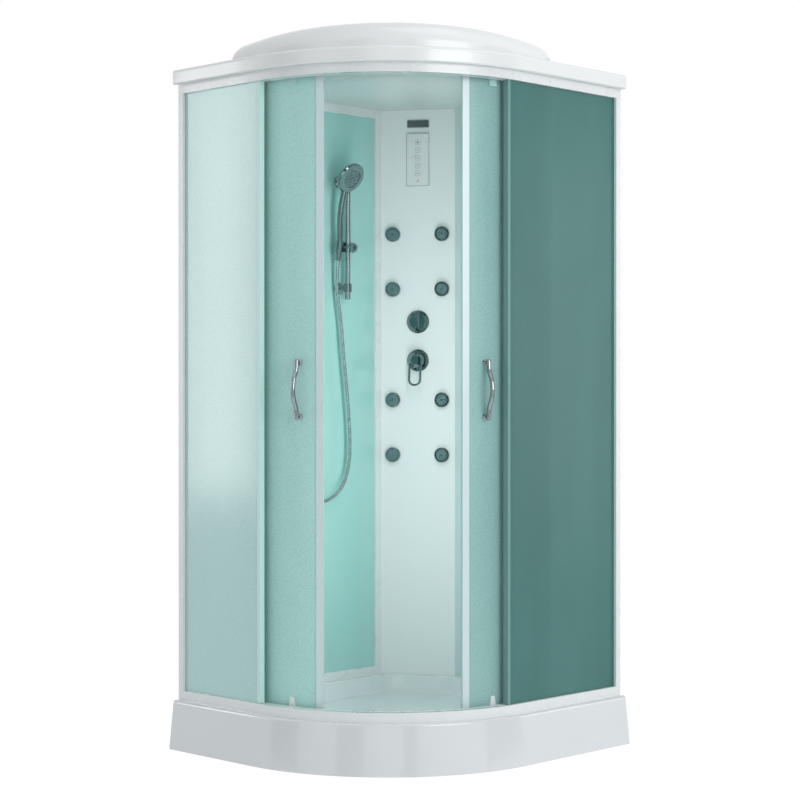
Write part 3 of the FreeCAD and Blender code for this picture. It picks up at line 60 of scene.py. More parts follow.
def add_camera():
    data = bpy.data.cameras.new("camera")
    data.lens = CAMERA_LENS_MM
    data.sensor_width = CAMERA_SENSOR_MM
    data.clip_end = CAMERA_FAR_LIMIT
    camera = add_object("camera", data)
    camera.location = CAMERA_PLACE
    camera.rotation_euler = (math.radians(90 - CAMERA_DIP_DEGREES), 0,
                             math.radians(CAMERA_HEADING_DEGREES))
    scene.camera = camera


add_camera()


# Materials. Scales are in waves per metre and depths in metres.

COAT_ROUGHNESS = 0.04
LEAST_ROUGHNESS = 0.02
WANDER_TO_PATCH_SCALE = 4
GRAIN_SCALE = 900.0
GRAIN_DEPTH = 0.00005
GRAIN_STRENGTH = 0.35
HAZE_SCALE = 3.0
HAZE_STRETCH = (1, 1, 0.35)
SPECKLE_SCALE = 420.0
SPECKLE_SHADE = 0.86
SPECKLE_DEPTH = 0.0003
FROST_ALPHA_SPREAD = 0.05


def new_material(name):
    material = bpy.data.materials.new(name)
    material.use_nodes = True
    shader = material.node_tree.nodes["Principled BSDF"]
    return material, material.node_tree, shader


def add_node(tree, kind, **values):
    node = tree.nodes.new(kind)
    for key, value in values.items():
        setattr(node, key, value)
    return node


def noise_field(tree, scale, detail, stretch=(1, 1, 1)):
    """Noise in object space, so that its scale is in waves per metre."""
    place = add_node(tree, "ShaderNodeTexCoord")
    mapping = add_node(tree, "ShaderNodeMapping")
    mapping.inputs["Scale"].default_value = stretch
    noise = add_node(tree, "ShaderNodeTexNoise")
    noise.inputs["Scale"].default_value = scale
    noise.inputs["Detail"].default_value = detail
    tree.links.new(place.outputs["Object"], mapping.inputs["Vector"])
    tree.links.new(mapping.outputs["Vector"], noise.inputs["Vector"])
    return noise.outputs["Fac"]


def ramp(tree, field, low, high, start=0.3, end=0.7):
    """Spreads a field over two colours or two grey levels."""
    node = add_node(tree, "ShaderNodeValToRGB")
    node.color_ramp.elements[0].position = start
    node.color_ramp.elements[1].position = end
    node.color_ramp.elements[0].color = (*low, 1.0)
    node.color_ramp.elements[1].color = (*high, 1.0)
    tree.links.new(field, node.inputs["Fac"])
    return node.outputs["Color"]


def grey(level):
    return (level, level, level)


def add_bump(tree, shader, field, strength, distance):
    bump = add_node(tree, "ShaderNodeBump")
    bump.inputs["Strength"].default_value = strength
    bump.inputs["Distance"].default_value = distance
    tree.links.new(field, bump.inputs["Height"])
    tree.links.new(bump.outputs["Normal"], shader.inputs["Normal"])


def add_grain(tree, shader, scale=GRAIN_SCALE, depth=GRAIN_DEPTH):
    add_bump(tree, shader, noise_field(tree, scale, detail=2.0), GRAIN_STRENGTH, depth)


def surface(name, colour, darker, roughness, metallic=0.0, patch_scale=6.0,
            grain_scale=GRAIN_SCALE, grain_depth=GRAIN_DEPTH, rough_spread=0.06, coat=0.0):
    """Solid material: broad tone patches, a roughness that wanders, and a fine grain."""
    material, tree, shader = new_material(name)
    patches = noise_field(tree, patch_scale, detail=4.0)
    tree.links.new(ramp(tree, patches, darker, colour), shader.inputs["Base Color"])
    wander = noise_field(tree, patch_scale * WANDER_TO_PATCH_SCALE, detail=5.0)
    smoothest = max(roughness - rough_spread, LEAST_ROUGHNESS)
    tree.links.new(ramp(tree, wander, grey(smoothest), grey(roughness + rough_spread)),
                   shader.inputs["Roughness"])
    shader.inputs["Metallic"].default_value = metallic
    shader.inputs["Coat Weight"].default_value = coat
    shader.inputs["Coat Roughness"].default_value = COAT_ROUGHNESS
    if grain_depth:
        add_grain(tree, shader, grain_scale, grain_depth)
    return material


def frosted_glass(name, colour, darker, alpha, roughness, relief=0.25):
    """Satin glass: see-through in part, with a fine speckle and a faint vertical haze."""
    material, tree, shader = new_material(name)
    haze = noise_field(tree, HAZE_SCALE, detail=3.0, stretch=HAZE_STRETCH)
    speckle = noise_field(tree, SPECKLE_SCALE, detail=3.0)
    tint = add_node(tree, "ShaderNodeMix", data_type="RGBA", blend_type="MULTIPLY")
    tint.inputs["Factor"].default_value = 1.0
    tree.links.new(ramp(tree, haze, darker, colour, start=0.35, end=0.65), tint.inputs["A"])
    tree.links.new(ramp(tree, speckle, grey(SPECKLE_SHADE), grey(1.0), start=0.35, end=0.6),
                   tint.inputs["B"])
    tree.links.new(tint.outputs["Result"], shader.inputs["Base Color"])
    thinnest, densest = grey(alpha - FROST_ALPHA_SPREAD), grey(alpha + FROST_ALPHA_SPREAD)
    tree.links.new(ramp(tree, speckle, thinnest, densest), shader.inputs["Alpha"])
    shader.inputs["Roughness"].default_value = roughness
    add_bump(tree, shader, speckle, relief, SPECKLE_DEPTH)
    return material


def painted_light_ramp(name, axis, low_colour, high_colour, start, end, roughness):
    """Soft plastic with painted light and shade: its tone goes from one to another between two
    places on a cabin axis.
    """
    material, tree, shader = new_material(name)
    place = add_node(tree, "ShaderNodeTexCoord")
    split = add_node(tree, "ShaderNodeSeparateXYZ")
    tree.links.new(place.outputs["Object"], split.inputs[0])
    tree.links.new(ramp(tree, split.outputs[axis], low_colour, high_colour, start, end),
                   shader.inputs["Base Color"])
    shader.inputs["Roughness"].default_value = roughness
    add_grain(tree, shader)
    return material


MOULDED = dict(patch_scale=2.0, rough_spread=0.02)
EXTRUDED = dict(patch_scale=3.0, grain_scale=1400, rough_spread=0.02, coat=0.2)
POLISHED = dict(metallic=1.0, grain_depth=0)

SURFACES = {
    "acrylic": dict(name="white_acrylic", colour=(0.76, 0.79, 0.81), darker=(0.75, 0.78, 0.8),
                    roughness=0.16, coat=0.5, **MOULDED),
    "roof": dict(name="roof_acrylic", colour=(0.84, 0.86, 0.87), darker=(0.83, 0.85, 0.86),
                 roughness=0.24, coat=0.25, **MOULDED),
    "column": dict(name="column_acrylic", colour=(0.86, 0.9, 0.905), darker=(0.85, 0.89, 0.895),
                   roughness=0.3, coat=0.1, **MOULDED),
    "profile": dict(name="white_profile", colour=(0.83, 0.855, 0.865),
                    darker=(0.82, 0.845, 0.855), roughness=0.28, **EXTRUDED),
    "door_profile": dict(name="door_profile", colour=(0.66, 0.8, 0.81), darker=(0.65, 0.79, 0.8),
                         roughness=0.3, **EXTRUDED),
    # The right wall frame is the same white profile, painted darker and teal as painted shade.
    "stile": dict(name="wall_profile_painted_shade", colour=(0.62, 0.74, 0.745), darker=(0.61, 0.73, 0.735),
                  roughness=0.3, **EXTRUDED),
    "plastic": dict(name="white_plastic", colour=(0.84, 0.86, 0.87), darker=(0.8, 0.82, 0.83),
                    roughness=0.3),
    "ceiling": dict(name="ceiling_plastic", colour=(0.72, 0.76, 0.76), darker=(0.68, 0.72, 0.72),
                    roughness=0.35),
    "zinc": dict(name="galvanised_steel", colour=(0.5, 0.51, 0.52), darker=(0.36, 0.37, 0.38),
                 roughness=0.42, metallic=1.0, patch_scale=40, grain_scale=500,
                 rough_spread=0.12),
    "grey": dict(name="grey_plastic", colour=(0.3, 0.31, 0.32), darker=(0.26, 0.27, 0.28),
                 roughness=0.5),
    "chrome": dict(name="chrome", colour=(0.5, 0.54, 0.55), darker=(0.44, 0.48, 0.5),
                   roughness=0.06, patch_scale=30, rough_spread=0.03, **POLISHED),
    # Darker copies of the chrome: the base is lowered as painted shade, standing in for dark
    # reflections on the handles, slider, holder, hand shower, bar brackets, diverter and mixer.
    "fitting": dict(name="chrome_painted_shade", colour=(0.34, 0.38, 0.39), darker=(0.27, 0.31, 0.32),
                    roughness=0.06, patch_scale=40, rough_spread=0.03, **POLISHED),
    "chrome_painted_deep_shade": dict(name="chrome_painted_deep_shade", colour=(0.27, 0.32, 0.33), darker=(0.2, 0.24, 0.26),
                        roughness=0.1, patch_scale=60, rough_spread=0.04, **POLISHED),
    "hose": dict(name="wound_steel", colour=(0.66, 0.68, 0.7), darker=(0.5, 0.52, 0.54),
                 roughness=0.22, metallic=1.0, patch_scale=80),
    "brass": dict(name="brass_pipe", colour=(0.62, 0.42, 0.16), darker=(0.45, 0.3, 0.12),
                  roughness=0.35, metallic=1.0, patch_scale=25, rough_spread=0.12),
    "rubber": dict(name="nozzle_rubber", colour=(0.02, 0.06, 0.07), darker=(0.012, 0.04, 0.05),
                   roughness=0.45),
    "face": dict(name="nozzle_face", colour=(0.06, 0.15, 0.16), darker=(0.03, 0.09, 0.1),
                 roughness=0.3, metallic=0.2, patch_scale=90),
    "nozzle": dict(name="nozzle_metal", colour=(0.58, 0.72, 0.73), darker=(0.46, 0.58, 0.59),
                   roughness=0.25, metallic=0.3, patch_scale=90),
    "spray_grey": dict(name="spray_grey", colour=(0.26, 0.33, 0.34), darker=(0.2, 0.26, 0.27),
                       roughness=0.3, metallic=0.3, patch_scale=50),
    "lens": dict(name="opal_lens", colour=(0.9, 0.9, 0.86), darker=(0.86, 0.86, 0.82),
                 roughness=0.25),
    "plate": dict(name="bare_plate", colour=(0.16, 0.17, 0.18), darker=(0.11, 0.12, 0.13),
                  roughness=0.22, metallic=0.6, patch_scale=30),
    "ink": dict(name="key_grey", colour=(0.2, 0.22, 0.23), darker=(0.15, 0.17, 0.18),
                roughness=0.4),
    "red": dict(name="red_key", colour=(0.6, 0.04, 0.03), darker=(0.5, 0.03, 0.03),
                roughness=0.35),
    "back_glass": dict(name="painted_glass", colour=(0.44, 0.74, 0.705),
                       darker=(0.41, 0.7, 0.665), roughness=0.12, patch_scale=2.5,
                       grain_depth=0, coat=0.8),
}

# Painted light and shade on one clear plastic, set by place on the cabin.
PAINTED_LIGHT_RAMPS = {
    # Seal strips: painted light makes the left seal light mint, and painted shade makes the right
    # seal dark teal, split along X.
    "seal": dict(name="clear_seal", axis="X", low_colour=(0.6, 0.86, 0.82),
                 high_colour=(0.17, 0.34, 0.32), start=0.1, end=0.2, roughness=0.35),
    # Roller brackets: painted lit white low down and painted shade (mint tint) on the upper ones,
    # split along Z.
    "bracket": dict(name="clear_bracket", axis="Z", low_colour=(0.84, 0.9, 0.89),
                    high_colour=(0.5, 0.76, 0.72), start=0.9, end=1.1, roughness=0.3),
}

# One frosted glass in four tones: painted light makes the left fixed pane and the left door pale
# mint, and painted shade makes the right door mid teal and the right fixed pane dark teal.
FROSTED_GLASSES = {
    "glass_left": dict(name="frosted_glass_left", colour=(0.64, 0.92, 0.9),
                       darker=(0.6, 0.88, 0.86), alpha=0.86, roughness=0.16, relief=0.06),
    "glass_left_door": dict(name="frosted_glass_left_door", colour=(0.57, 0.92, 0.87),
                            darker=(0.51, 0.86, 0.81), alpha=0.86, roughness=0.3),
    "glass_right": dict(name="frosted_glass_right", colour=(0.075, 0.25, 0.23),
                        darker=(0.055, 0.205, 0.187), alpha=0.82, roughness=0.34),
    "glass_right_door": dict(name="frosted_glass_right_door", colour=(0.39, 0.66, 0.635),
                             darker=(0.34, 0.6, 0.575), alpha=0.8, roughness=0.3),
}

materials = {}
for build, looks in ((surface, SURFACES), (painted_light_ramp, PAINTED_LIGHT_RAMPS), (frosted_glass, FROSTED_GLASSES)):
    for key, look in looks.items():
        materials[key] = build(**look)

NODE_MATERIALS = {
    "acrylic": ["tray_basin"],
    "roof": ["roof_shell"],
    "column": ["column_panel"],
    "profile": ["rail_bottom", "rail_top", "jamb_left", "jamb_right", "wall_frame_left"],
    "stile": ["wall_frame_right"],
    "door_profile": ["door_edge_left", "door_edge_right"],
    "bracket": ["roller_brackets_left", "roller_brackets_right"],
    "plastic": ["control_panel", "fan_housing", "fan_rotor",
                "wheel_left_front", "wheel_left_rear", "wheel_right_front", "wheel_right_rear"],
    "ceiling": ["ceiling_panel"],
    "zinc": ["tray_frame", "tray_feet"],
    "grey": ["drain_trap"],
    "chrome": ["drain_cover", "mixer_stem", "slide_bar", "hose_outlet", "jet_bodies"]
              + ["jet_head_%d" % number for number in range(1, 9)],
    "fitting": ["handle_left", "handle_right", "bar_brackets", "slider", "holder", "hand_shower"],
    "chrome_painted_deep_shade": ["diverter_body", "diverter_knob", "mixer_body", "mixer_lever"],
    "brass": ["water_pipes"],
    "seal": ["fixed_seals"],
    "spray_grey": ["spray_face"],
    "lens": ["roof_lamp"],
    "plate": ["badge_plate"],
    "back_glass": ["wall_glass_left", "wall_glass_right"],
    "glass_left": ["fixed_glass_left"],
    "glass_left_door": ["door_glass_left"],
    "glass_right": ["fixed_glass_right"],
    "glass_right_door": ["door_glass_right"],
}

for key, names in NODE_MATERIALS.items():
    for name in names:
        nodes[name].data.materials.clear()
        nodes[name].data.materials.append(materials[key])


# Places on the cabin, in millimetres as in the CAD.

COLUMN_LEFT = Vector((-390.0, 308.5, 0.0))
COLUMN_RIGHT = Vector((-194.0, 440.0, 0.0))
COLUMN_ALONG = (COLUMN_RIGHT - COLUMN_LEFT).normalized()
COLUMN_OUT = Vector((COLUMN_ALONG.y, -COLUMN_ALONG.x, 0.0))
HANDSET_ORIGIN = Vector((-356.0, 91.0, 1480.0))
HANDSET_TILT = math.radians(8)
HEAD_FROM_HANDSET = Vector((24.0, 0.0, 212.0))
HEAD_TILT = math.radians(24)


def placed(origin_mm, turn):
    """Matrix from a piece drawn in millimetres to its place in metres."""
    return Matrix.Translation(origin_mm * MM) @ turn @ Matrix.Scale(MM, 4)


def on_column(from_middle, height, reach=0.0):
    spot = (COLUMN_LEFT + COLUMN_RIGHT) / 2 + COLUMN_ALONG * from_middle + COLUMN_OUT * reach
    spot.z = height
    turn = Matrix((COLUMN_OUT, COLUMN_ALONG, Vector((0, 0, 1)))).transposed().to_4x4()
    return placed(spot, turn)


def on_head():
    tip = Matrix.Translation(HEAD_FROM_HANDSET) @ Matrix.Rotation(HEAD_TILT, 4, "Y")
    return placed(HANDSET_ORIGIN, Matrix.Rotation(HANDSET_TILT, 4, "Y")) @ tip


# Shapes. A piece is drawn with X out of its base and Y, Z across it.

SHARP_ANGLE = math.radians(40)


def make_piece(name, bm, matrix, material, body, smooth=True):
    mesh = bpy.data.meshes.new(name)
    bmesh.ops.recalc_face_normals(bm, faces=bm.faces)
    bm.to_mesh(mesh)
    bm.free()
    mesh.transform(matrix)
    mesh.materials.append(materials[material])
    for polygon in mesh.polygons:
        polygon.use_smooth = smooth
    if smooth:
        mesh.set_sharp_from_angle(angle=SHARP_ANGLE)
    piece = add_object(name, mesh)
    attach(piece, body)
    return piece


def bridge(bm, low, high):
    """Faces between two closed rings with the same number of corners."""
    for step in range(len(low)):
        ahead = (step + 1) % len(low)
        bm.faces.new((low[step], low[ahead], high[ahead], high[step]))


def add_lathe(bm, profile, centre=(0, 0), steps=16):
    """Turned form about X; the profile gives reach and radius from back to front."""
    rings = []
    for reach, radius in profile:
        if radius == 0:
            rings.append([bm.verts.new((reach, centre[0], centre[1]))])
            continue
        ring = []
        for step in range(steps):
            angle = 2 * math.pi * step / steps
            ring.append(bm.verts.new((reach, centre[0] + radius * math.cos(angle),
                                      centre[1] + radius * math.sin(angle))))
        rings.append(ring)
    for low, high in zip(rings, rings[1:]):
        for step in range(steps):
            ahead = (step + 1) % steps
            corners = [low[step % len(low)], low[ahead % len(low)],
                       high[ahead % len(high)], high[step % len(high)]]
            unique = list(dict.fromkeys(corners))
            if len(unique) > 2:
                bm.faces.new(unique)


def ring_spots(rings):
    """Centres spread evenly over rings given as radius and count."""
    spots = []
    for radius, count in rings:
        for step in range(count):
            angle = 2 * math.pi * (step + 0.5 * (count % 2)) / count
            spots.append((radius * math.cos(angle), radius * math.sin(angle)))
    return spots


def add_loop(bm, outer, inner, low, high):
    """Raised flat band between two outlines with the same number of Y, Z points."""
    layers = []
    for outline, reach in ((outer, low), (outer, high), (inner, high), (inner, low)):
        layers.append([bm.verts.new((reach, y, z)) for y, z in outline])
    for here, there in zip(layers, layers[1:] + layers[:1]):
        bridge(bm, here, there)


def add_plate(bm, outline, low, high, height=0.0):
    """Solid plate with a flat outline of Y, Z points, raised by the height."""
    back = [bm.verts.new((low, y, z + height)) for y, z in outline]
    front = [bm.verts.new((high, y, z + height)) for y, z in outline]
    bm.faces.new(back)
    bm.faces.new(front)
    bridge(bm, back, front)


def rounded_rectangle(half_y, half_z, radius, steps=5):
    points = []
    for corner_y, corner_z, start in ((1, 1, 0), (-1, 1, 90), (-1, -1, 180), (1, -1, 270)):
        for step in range(steps + 1):
            angle = math.radians(start + 90 * step / steps)
            points.append((corner_y * (half_y - radius) + radius * math.cos(angle),
                           corner_z * (half_z - radius) + radius * math.sin(angle)))
    return points


def circle(radius, height, half_steps=12):
    """Outline of Y, Z points round a middle at the height."""
    angles = [math.pi * step / half_steps for step in range(2 * half_steps)]
    return [(radius * math.cos(angle), height + radius * math.sin(angle)) for angle in angles]


def add_rim(bm, outer, inner, low, high, height=0.0):
    """Band between two rounded rectangles, each given as half width, half height, corner."""
    outlines = []
    for sizes in (outer, inner):
        outlines.append([(y, height + z) for y, z in rounded_rectangle(*sizes)])
    add_loop(bm, *outlines, low, high)


# Hose: a wound metal tube along one smooth line, in metres.

HOSE_ROUTE = [
    (-0.3550, -0.1380, 1.2420), (-0.3550, -0.1380, 1.1420), (-0.3550, -0.1370, 1.0200),
    (-0.3550, -0.1330, 0.9100), (-0.3560, -0.1280, 0.8200), (-0.3570, -0.1080, 0.7560),
    (-0.3590, -0.0720, 0.7160), (-0.3610, -0.0060, 0.6940), (-0.3610, 0.0520, 0.7010),
    (-0.3610, 0.0970, 0.7280), (-0.3610, 0.1290, 0.7710), (-0.3610, 0.1420, 0.8400),
    (-0.3610, 0.1400, 0.9250), (-0.3620, 0.1300, 1.0350), (-0.3640, 0.1160, 1.1500),
    (-0.3670, 0.1080, 1.2620), (-0.3726, 0.0910, 1.3622), (-0.3617, 0.0910, 1.4394),
]
HOSE_STATION_PITCH = 0.00125
HOSE_SIDES = 14
HOSE_WINDING_RADII = (0.0054, 0.0060, 0.0060, 0.0054)
HOSE_LINE_RESOLUTION = 24


def spline_line(points, name):
    """Points along the smooth NURBS line that the route's points control."""
    curve = bpy.data.curves.new(name, "CURVE")
    curve.dimensions = "3D"
    curve.resolution_u = HOSE_LINE_RESOLUTION
    spline = curve.splines.new("NURBS")
    spline.points.add(len(points) - 1)
    for point, place in zip(spline.points, points):
        point.co = (*place, 1.0)
    spline.order_u = 3
    spline.use_endpoint_u = True
    guide = add_object(name, curve)
    mesh = bpy.data.meshes.new_from_object(guide)
    line = [vertex.co.copy() for vertex in mesh.vertices]
    bpy.data.objects.remove(guide)
    bpy.data.meshes.remove(mesh)
    return line


def evenly(line, pitch):
    """Stations along the line at an even pitch, and the line's length."""
    total = sum((b - a).length for a, b in zip(line, line[1:]))
    count = round(total / pitch)
    stations, travelled, index = [], 0.0, 0
    for step in range(count + 1):
        wanted = total * step / count
        run = line[index + 1] - line[index]
        while index < len(line) - 2 and travelled + run.length < wanted:
            travelled += run.length
            index += 1
            run = line[index + 1] - line[index]
        stations.append(line[index] + run * min((wanted - travelled) / run.length, 1.0))
    return stations, total


def add_hose():
    line = spline_line(HOSE_ROUTE, "hose_line")
    stations, total = evenly(line, HOSE_STATION_PITCH)
    bm = bmesh.new()
    side = Vector((1, 0, 0))
    rings = []
    for index, place in enumerate(stations):
        ahead = stations[min(index + 1, len(stations) - 1)] - stations[max(index - 1, 0)]
        ahead.normalize()
        side = (side - ahead * side.dot(ahead)).normalized()
        across = ahead.cross(side)
        radius = HOSE_WINDING_RADII[index % len(HOSE_WINDING_RADII)]
        ring = []
        for step in range(HOSE_SIDES):
            angle = 2 * math.pi * step / HOSE_SIDES
            spoke = side * math.cos(angle) + across * math.sin(angle)
            ring.append(bm.verts.new(place + spoke * radius))
        rings.append(ring)
    for low, high in zip(rings, rings[1:]):
        bridge(bm, low, high)
    bm.faces.new(rings[0])
    bm.faces.new(rings[-1])
    hose = make_piece("hose_wound", bm, Matrix.Identity(4), "hose", "cabin")
    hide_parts("hose")


add_hose()


# Body jets, in millimetres from the column's face. Profiles give reach and radius.

JET_FROM_MIDDLE = 78.5
JET_ROW_HEIGHTS = (1531.0, 1357.5, 1008.5, 835.0)
JET_DISC = [(23.6, 17.6), (24.6, 17.6), (25.1, 16.9), (25.1, 3.2), (24.3, 2.4), (24.3, 0)]
JET_NOZZLE = [(24.9, 1.6), (26.0, 1.2), (26.0, 0)]
JET_NOZZLE_RINGS = [(5.6, 6), (9.6, 11), (13.8, 16)]
JET_BEAD = [(19.0, 21.2), (19.9, 22.6), (19.4, 23.4), (18.6, 23.5)]
NOZZLE_STEPS = 8


def add_jets():
    places = [(side * JET_FROM_MIDDLE, height) for height in JET_ROW_HEIGHTS for side in (-1, 1)]
    for number, (from_middle, height) in enumerate(places, 1):
        matrix = on_column(from_middle, height)
        body = "jet_%d" % number
        disc = bmesh.new()
        add_lathe(disc, JET_DISC, steps=32)
        make_piece("jet_%d_disc" % number, disc, matrix, "face", body)
        nozzles = bmesh.new()
        for spot in ring_spots(JET_NOZZLE_RINGS):
            add_lathe(nozzles, JET_NOZZLE, spot, NOZZLE_STEPS)
        make_piece("jet_%d_nozzles" % number, nozzles, matrix, "nozzle", body)
        bead = bmesh.new()
        add_lathe(bead, JET_BEAD, steps=40)
        make_piece("jet_%d_bead" % number, bead, matrix, "chrome", "cabin")


# Spray face of the hand shower, in millimetres from the face's back.

SPRAY_NOZZLE = [(1.9, 1.4), (3.1, 1.0), (3.1, 0)]
SPRAY_NOZZLE_RINGS = [(0, 1), (5, 6), (10, 12), (15, 18), (20, 24), (25, 30)]
SPRAY_BEAD = [(2.6, 32.0), (3.7, 32.5), (4.1, 33.6), (3.7, 34.7), (2.6, 35.2)]


def add_spray():
    matrix = on_head()
    nozzles = bmesh.new()
    for spot in ring_spots(SPRAY_NOZZLE_RINGS):
        add_lathe(nozzles, SPRAY_NOZZLE, spot, NOZZLE_STEPS)
    make_piece("spray_nozzles", nozzles, matrix, "rubber", "handset")
    bead = bmesh.new()
    add_lathe(bead, SPRAY_BEAD, steps=48)
    make_piece("spray_bead", bead, matrix, "chrome", "handset")


# Control panel, in millimetres from its middle. Rims are half width, half height and corner.

PANEL_HEIGHT = 1766.5
PANEL_REACH = 7.0
PANEL_RIMS = ((36.2, 83.2, 4), (35.0, 82.0, 3.2))
KEY_RIMS = ((8.0, 8.0, 2.6), (7.3, 7.3, 2.0))
PANEL_RIM_DEPTHS = (-0.5, 0.35)
KEY_HEIGHTS = (55.0, 30.5, 6.0, -18.5, -43.0)
SIGN_DEPTHS = (-0.3, 0.3)
FAN_BLADE = (1.1, 2.0, 0.9, 3)
FAN_BLADE_FROM_HUB = 2.6
FAN_START_ANGLE = 0.4
FLASH_SIGN = [(-0.6, -3.5), (2.6, 0.4), (0.3, 0.4), (1.0, 3.6), (-2.4, -0.5), (-0.2, -0.5)]
UP_SIGN = [(-2.8, -2.0), (2.8, -2.0), (0, 3.0)]
DOWN_SIGN = [(-2.8, 2.0), (0, -3.0), (2.8, 2.0)]
DOT_SIGN = [(-0.3, 2.2), (0.3, 2.2), (0.3, 0)]
POWER_RING_RADII = (3.6, 2.8)
POWER_RING_HEIGHT = -68
POWER_STROKE = (0.5, 2.4, 0.4, 2)
POWER_STROKE_HEIGHT = -65.5
PLATE_HEIGHT = 1880.5
PLATE_REACH = 2.5
PLATE_RIMS = ((35.2, 12.2, 3.8), (33.6, 10.6, 2.6))
PLATE_RIM_DEPTHS = (-0.5, 0.5)


def add_key_signs(matrix):
    """A fan, a flash, two arrows and a dot, one on each key from the top."""
    fan_key, flash_key, up_key, down_key, dot_key = KEY_HEIGHTS
    signs = bmesh.new()
    for turn in range(4):
        angle = math.pi / 2 * turn + FAN_START_ANGLE
        cos, sin = math.cos(angle), math.sin(angle)
        blade = [(y, z + FAN_BLADE_FROM_HUB) for y, z in rounded_rectangle(*FAN_BLADE)]
        turned = [(y * cos - z * sin, y * sin + z * cos) for y, z in blade]
        add_plate(signs, turned, *SIGN_DEPTHS, fan_key)
    for sign, height in ((FLASH_SIGN, flash_key), (UP_SIGN, up_key), (DOWN_SIGN, down_key)):
        add_plate(signs, sign, *SIGN_DEPTHS, height)
    add_lathe(signs, DOT_SIGN, (0, dot_key))
    make_piece("panel_signs", signs, matrix, "ink", "cabin", smooth=False)


def add_panel():
    matrix = on_column(0, PANEL_HEIGHT, PANEL_REACH)
    # Dark band round the panel: painted shade standing for the shadow in the gap round its edge.
    edge = bmesh.new()
    add_rim(edge, *PANEL_RIMS, *PANEL_RIM_DEPTHS)
    make_piece("panel_shadow_gap", edge, matrix, "ink", "cabin")
    keys = bmesh.new()
    for height in KEY_HEIGHTS:
        add_rim(keys, *KEY_RIMS, *SIGN_DEPTHS, height)
    make_piece("panel_keys", keys, matrix, "ink", "cabin")
    add_key_signs(matrix)
    power = bmesh.new()
    outer, inner = [circle(radius, POWER_RING_HEIGHT) for radius in POWER_RING_RADII]
    add_loop(power, outer, inner, *SIGN_DEPTHS)
    add_plate(power, rounded_rectangle(*POWER_STROKE), *SIGN_DEPTHS, POWER_STROKE_HEIGHT)
    make_piece("panel_power", power, matrix, "red", "cabin", smooth=False)
    rim = bmesh.new()
    add_rim(rim, *PLATE_RIMS, *PLATE_RIM_DEPTHS)
    make_piece("plate_rim", rim, on_column(0, PLATE_HEIGHT, PLATE_REACH), "chrome", "cabin")


add_jets()
add_spray()
add_panel()


# Floor, dark boards, backdrop and lamps.

FLOOR_HALF = 14.0
FLOOR_DROP = 0.0005
FLOOR_COLOUR = (0.9, 0.9, 0.9, 1)
FLOOR_ROUGHNESS = 0.7
FLOOR_GLOW = 1.12
FLOOR_GLOW_SHARE = 0.86
BOARD_COLOUR = (0.02, 0.025, 0.028, 1)
BOARD_ROUGHNESS = 0.9
BOARD_DISTANCE = 2.6
BOARD_FOOT = 0.02
BOARD_TOP = 2.7
BOARD_ARCS_DEGREES = ((12, 38), (56, 100), (-38, -29), (-76, -60), (-118, -99), (-176, -152))
BACKDROP_COLOUR = (1, 1, 1, 1)
BACKDROP_STRENGTH = 1.0
SKY_COLOUR = (0.96, 0.99, 1.0, 1)
SKY_STRENGTH = 0.55


def seen_directly(tree):
    """1 for rays from the camera, mirrored rays and transmitted rays, and 0 for others."""
    path = add_node(tree, "ShaderNodeLightPath")
    seen = add_node(tree, "ShaderNodeMath", operation="MAXIMUM")
    seen_all = add_node(tree, "ShaderNodeMath", operation="MAXIMUM")
    tree.links.new(path.outputs["Is Camera Ray"], seen.inputs[0])
    tree.links.new(path.outputs["Is Glossy Ray"], seen.inputs[1])
    tree.links.new(seen.outputs[0], seen_all.inputs[0])
    tree.links.new(path.outputs["Is Transmission Ray"], seen_all.inputs[1])
    return seen_all.outputs[0]


def mix_into(tree, share, first, second, output):
    """Sends the first shader to the output, with the share of the second mixed in."""
    mix = add_node(tree, "ShaderNodeMixShader")
    tree.links.new(share, mix.inputs[0])
    tree.links.new(first.outputs[0], mix.inputs[1])
    tree.links.new(second.outputs[0], mix.inputs[2])
    tree.links.new(mix.outputs[0], output.inputs["Surface"])


def add_board(name, corners, material):
    mesh = bpy.data.meshes.new(name)
    mesh.from_pydata(corners, [], [(0, 1, 2, 3)])
    mesh.materials.append(material)
    return add_object(name, mesh)


def add_stage():
    """White floor that glows evenly where it is seen and takes shadows from the lamps."""
    material, tree, shader = new_material("floor_white")
    shader.inputs["Base Color"].default_value = FLOOR_COLOUR
    shader.inputs["Roughness"].default_value = FLOOR_ROUGHNESS
    glow = add_node(tree, "ShaderNodeEmission")
    glow.inputs["Strength"].default_value = FLOOR_GLOW
    share = add_node(tree, "ShaderNodeMath", operation="MULTIPLY")
    share.inputs[1].default_value = FLOOR_GLOW_SHARE
    tree.links.new(seen_directly(tree), share.inputs[0])
    mix_into(tree, share.outputs[0], shader, glow, tree.nodes["Material Output"])
    half = FLOOR_HALF
    corners = [(-half, -half, 0), (half, -half, 0), (half, half, 0), (-half, half, 0)]
    floor = add_board("floor", corners, material)
    floor.location.z = -FLOOR_DROP


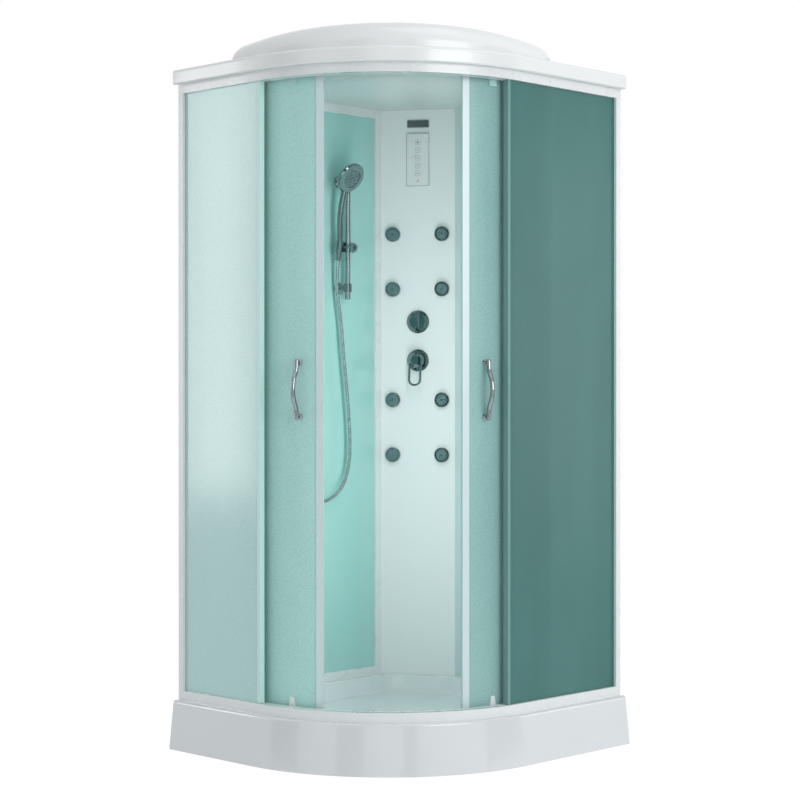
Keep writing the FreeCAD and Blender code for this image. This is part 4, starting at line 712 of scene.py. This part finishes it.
def add_cards():
    """Dark upright boards round the cabin that only mirror-like surfaces see."""
    material, _, shader = new_material("card_black")
    shader.inputs["Base Color"].default_value = BOARD_COLOUR
    shader.inputs["Roughness"].default_value = BOARD_ROUGHNESS
    shader.inputs["Specular IOR Level"].default_value = 0.0
    for number, arc in enumerate(BOARD_ARCS_DEGREES, 1):
        (ax, ay), (bx, by) = [(BOARD_DISTANCE * math.cos(angle), BOARD_DISTANCE * math.sin(angle))
                              for angle in map(math.radians, arc)]
        corners = [(ax, ay, BOARD_FOOT), (bx, by, BOARD_FOOT),
                   (bx, by, BOARD_TOP), (ax, ay, BOARD_TOP)]
        card = add_board("card_%d" % number, corners, material)
        card.visible_camera = False
        card.visible_diffuse = False
        card.visible_transmission = False
        card.visible_volume_scatter = False
        card.visible_shadow = False


def add_background(tree, colour, strength):
    background = add_node(tree, "ShaderNodeBackground")
    background.inputs["Color"].default_value = colour
    background.inputs["Strength"].default_value = strength
    return background


def add_world():
    world = bpy.data.worlds.new("world")
    scene.world = world
    world.use_nodes = True
    tree = world.node_tree
    tree.nodes.clear()
    output = add_node(tree, "ShaderNodeOutputWorld")
    shown = add_background(tree, BACKDROP_COLOUR, BACKDROP_STRENGTH)
    lit = add_background(tree, SKY_COLOUR, SKY_STRENGTH)
    mix_into(tree, seen_directly(tree), lit, shown, output)


def add_lamp(name, place, target, size, power, tall=None, mirrored=True):
    data = bpy.data.lights.new(name, "AREA")
    data.shape = "RECTANGLE"
    data.size = size
    data.size_y = tall or size
    data.energy = power
    lamp = add_object(name, data)
    lamp.location = place
    aim = Vector(target) - Vector(place)
    lamp.rotation_euler = aim.to_track_quat("-Z", "Y").to_euler()
    lamp.visible_glossy = mirrored


LAMPS = [
    dict(name="left_window", place=(-3.42, -3.1, 1.6), target=(-0.3, -0.4, 1.1),
         size=0.3, power=17, tall=2.2),
    dict(name="right_soft", place=(4.2, -0.6, 2.0), target=(0.2, 0.0, 1.0), size=2.0, power=52),
    dict(name="right_window", place=(3.0, 3.3, 1.3), target=(0.45, 0.3, 1.1),
         size=0.6, power=12, tall=2.0),
    dict(name="inside_fill", place=(0.24, -0.14, 1.02), target=(-0.3, 0.36, 0.98),
         size=0.14, power=4.2, tall=1.3, mirrored=False),
    dict(name="top", place=(1.4, -0.2, 4.4), target=(0.1, 0.0, 1.9), size=2.0, power=14),
]

add_stage()
add_cards()
add_world()
scene.view_settings.view_transform = "Standard"
for lamp in LAMPS:
    add_lamp(**lamp)
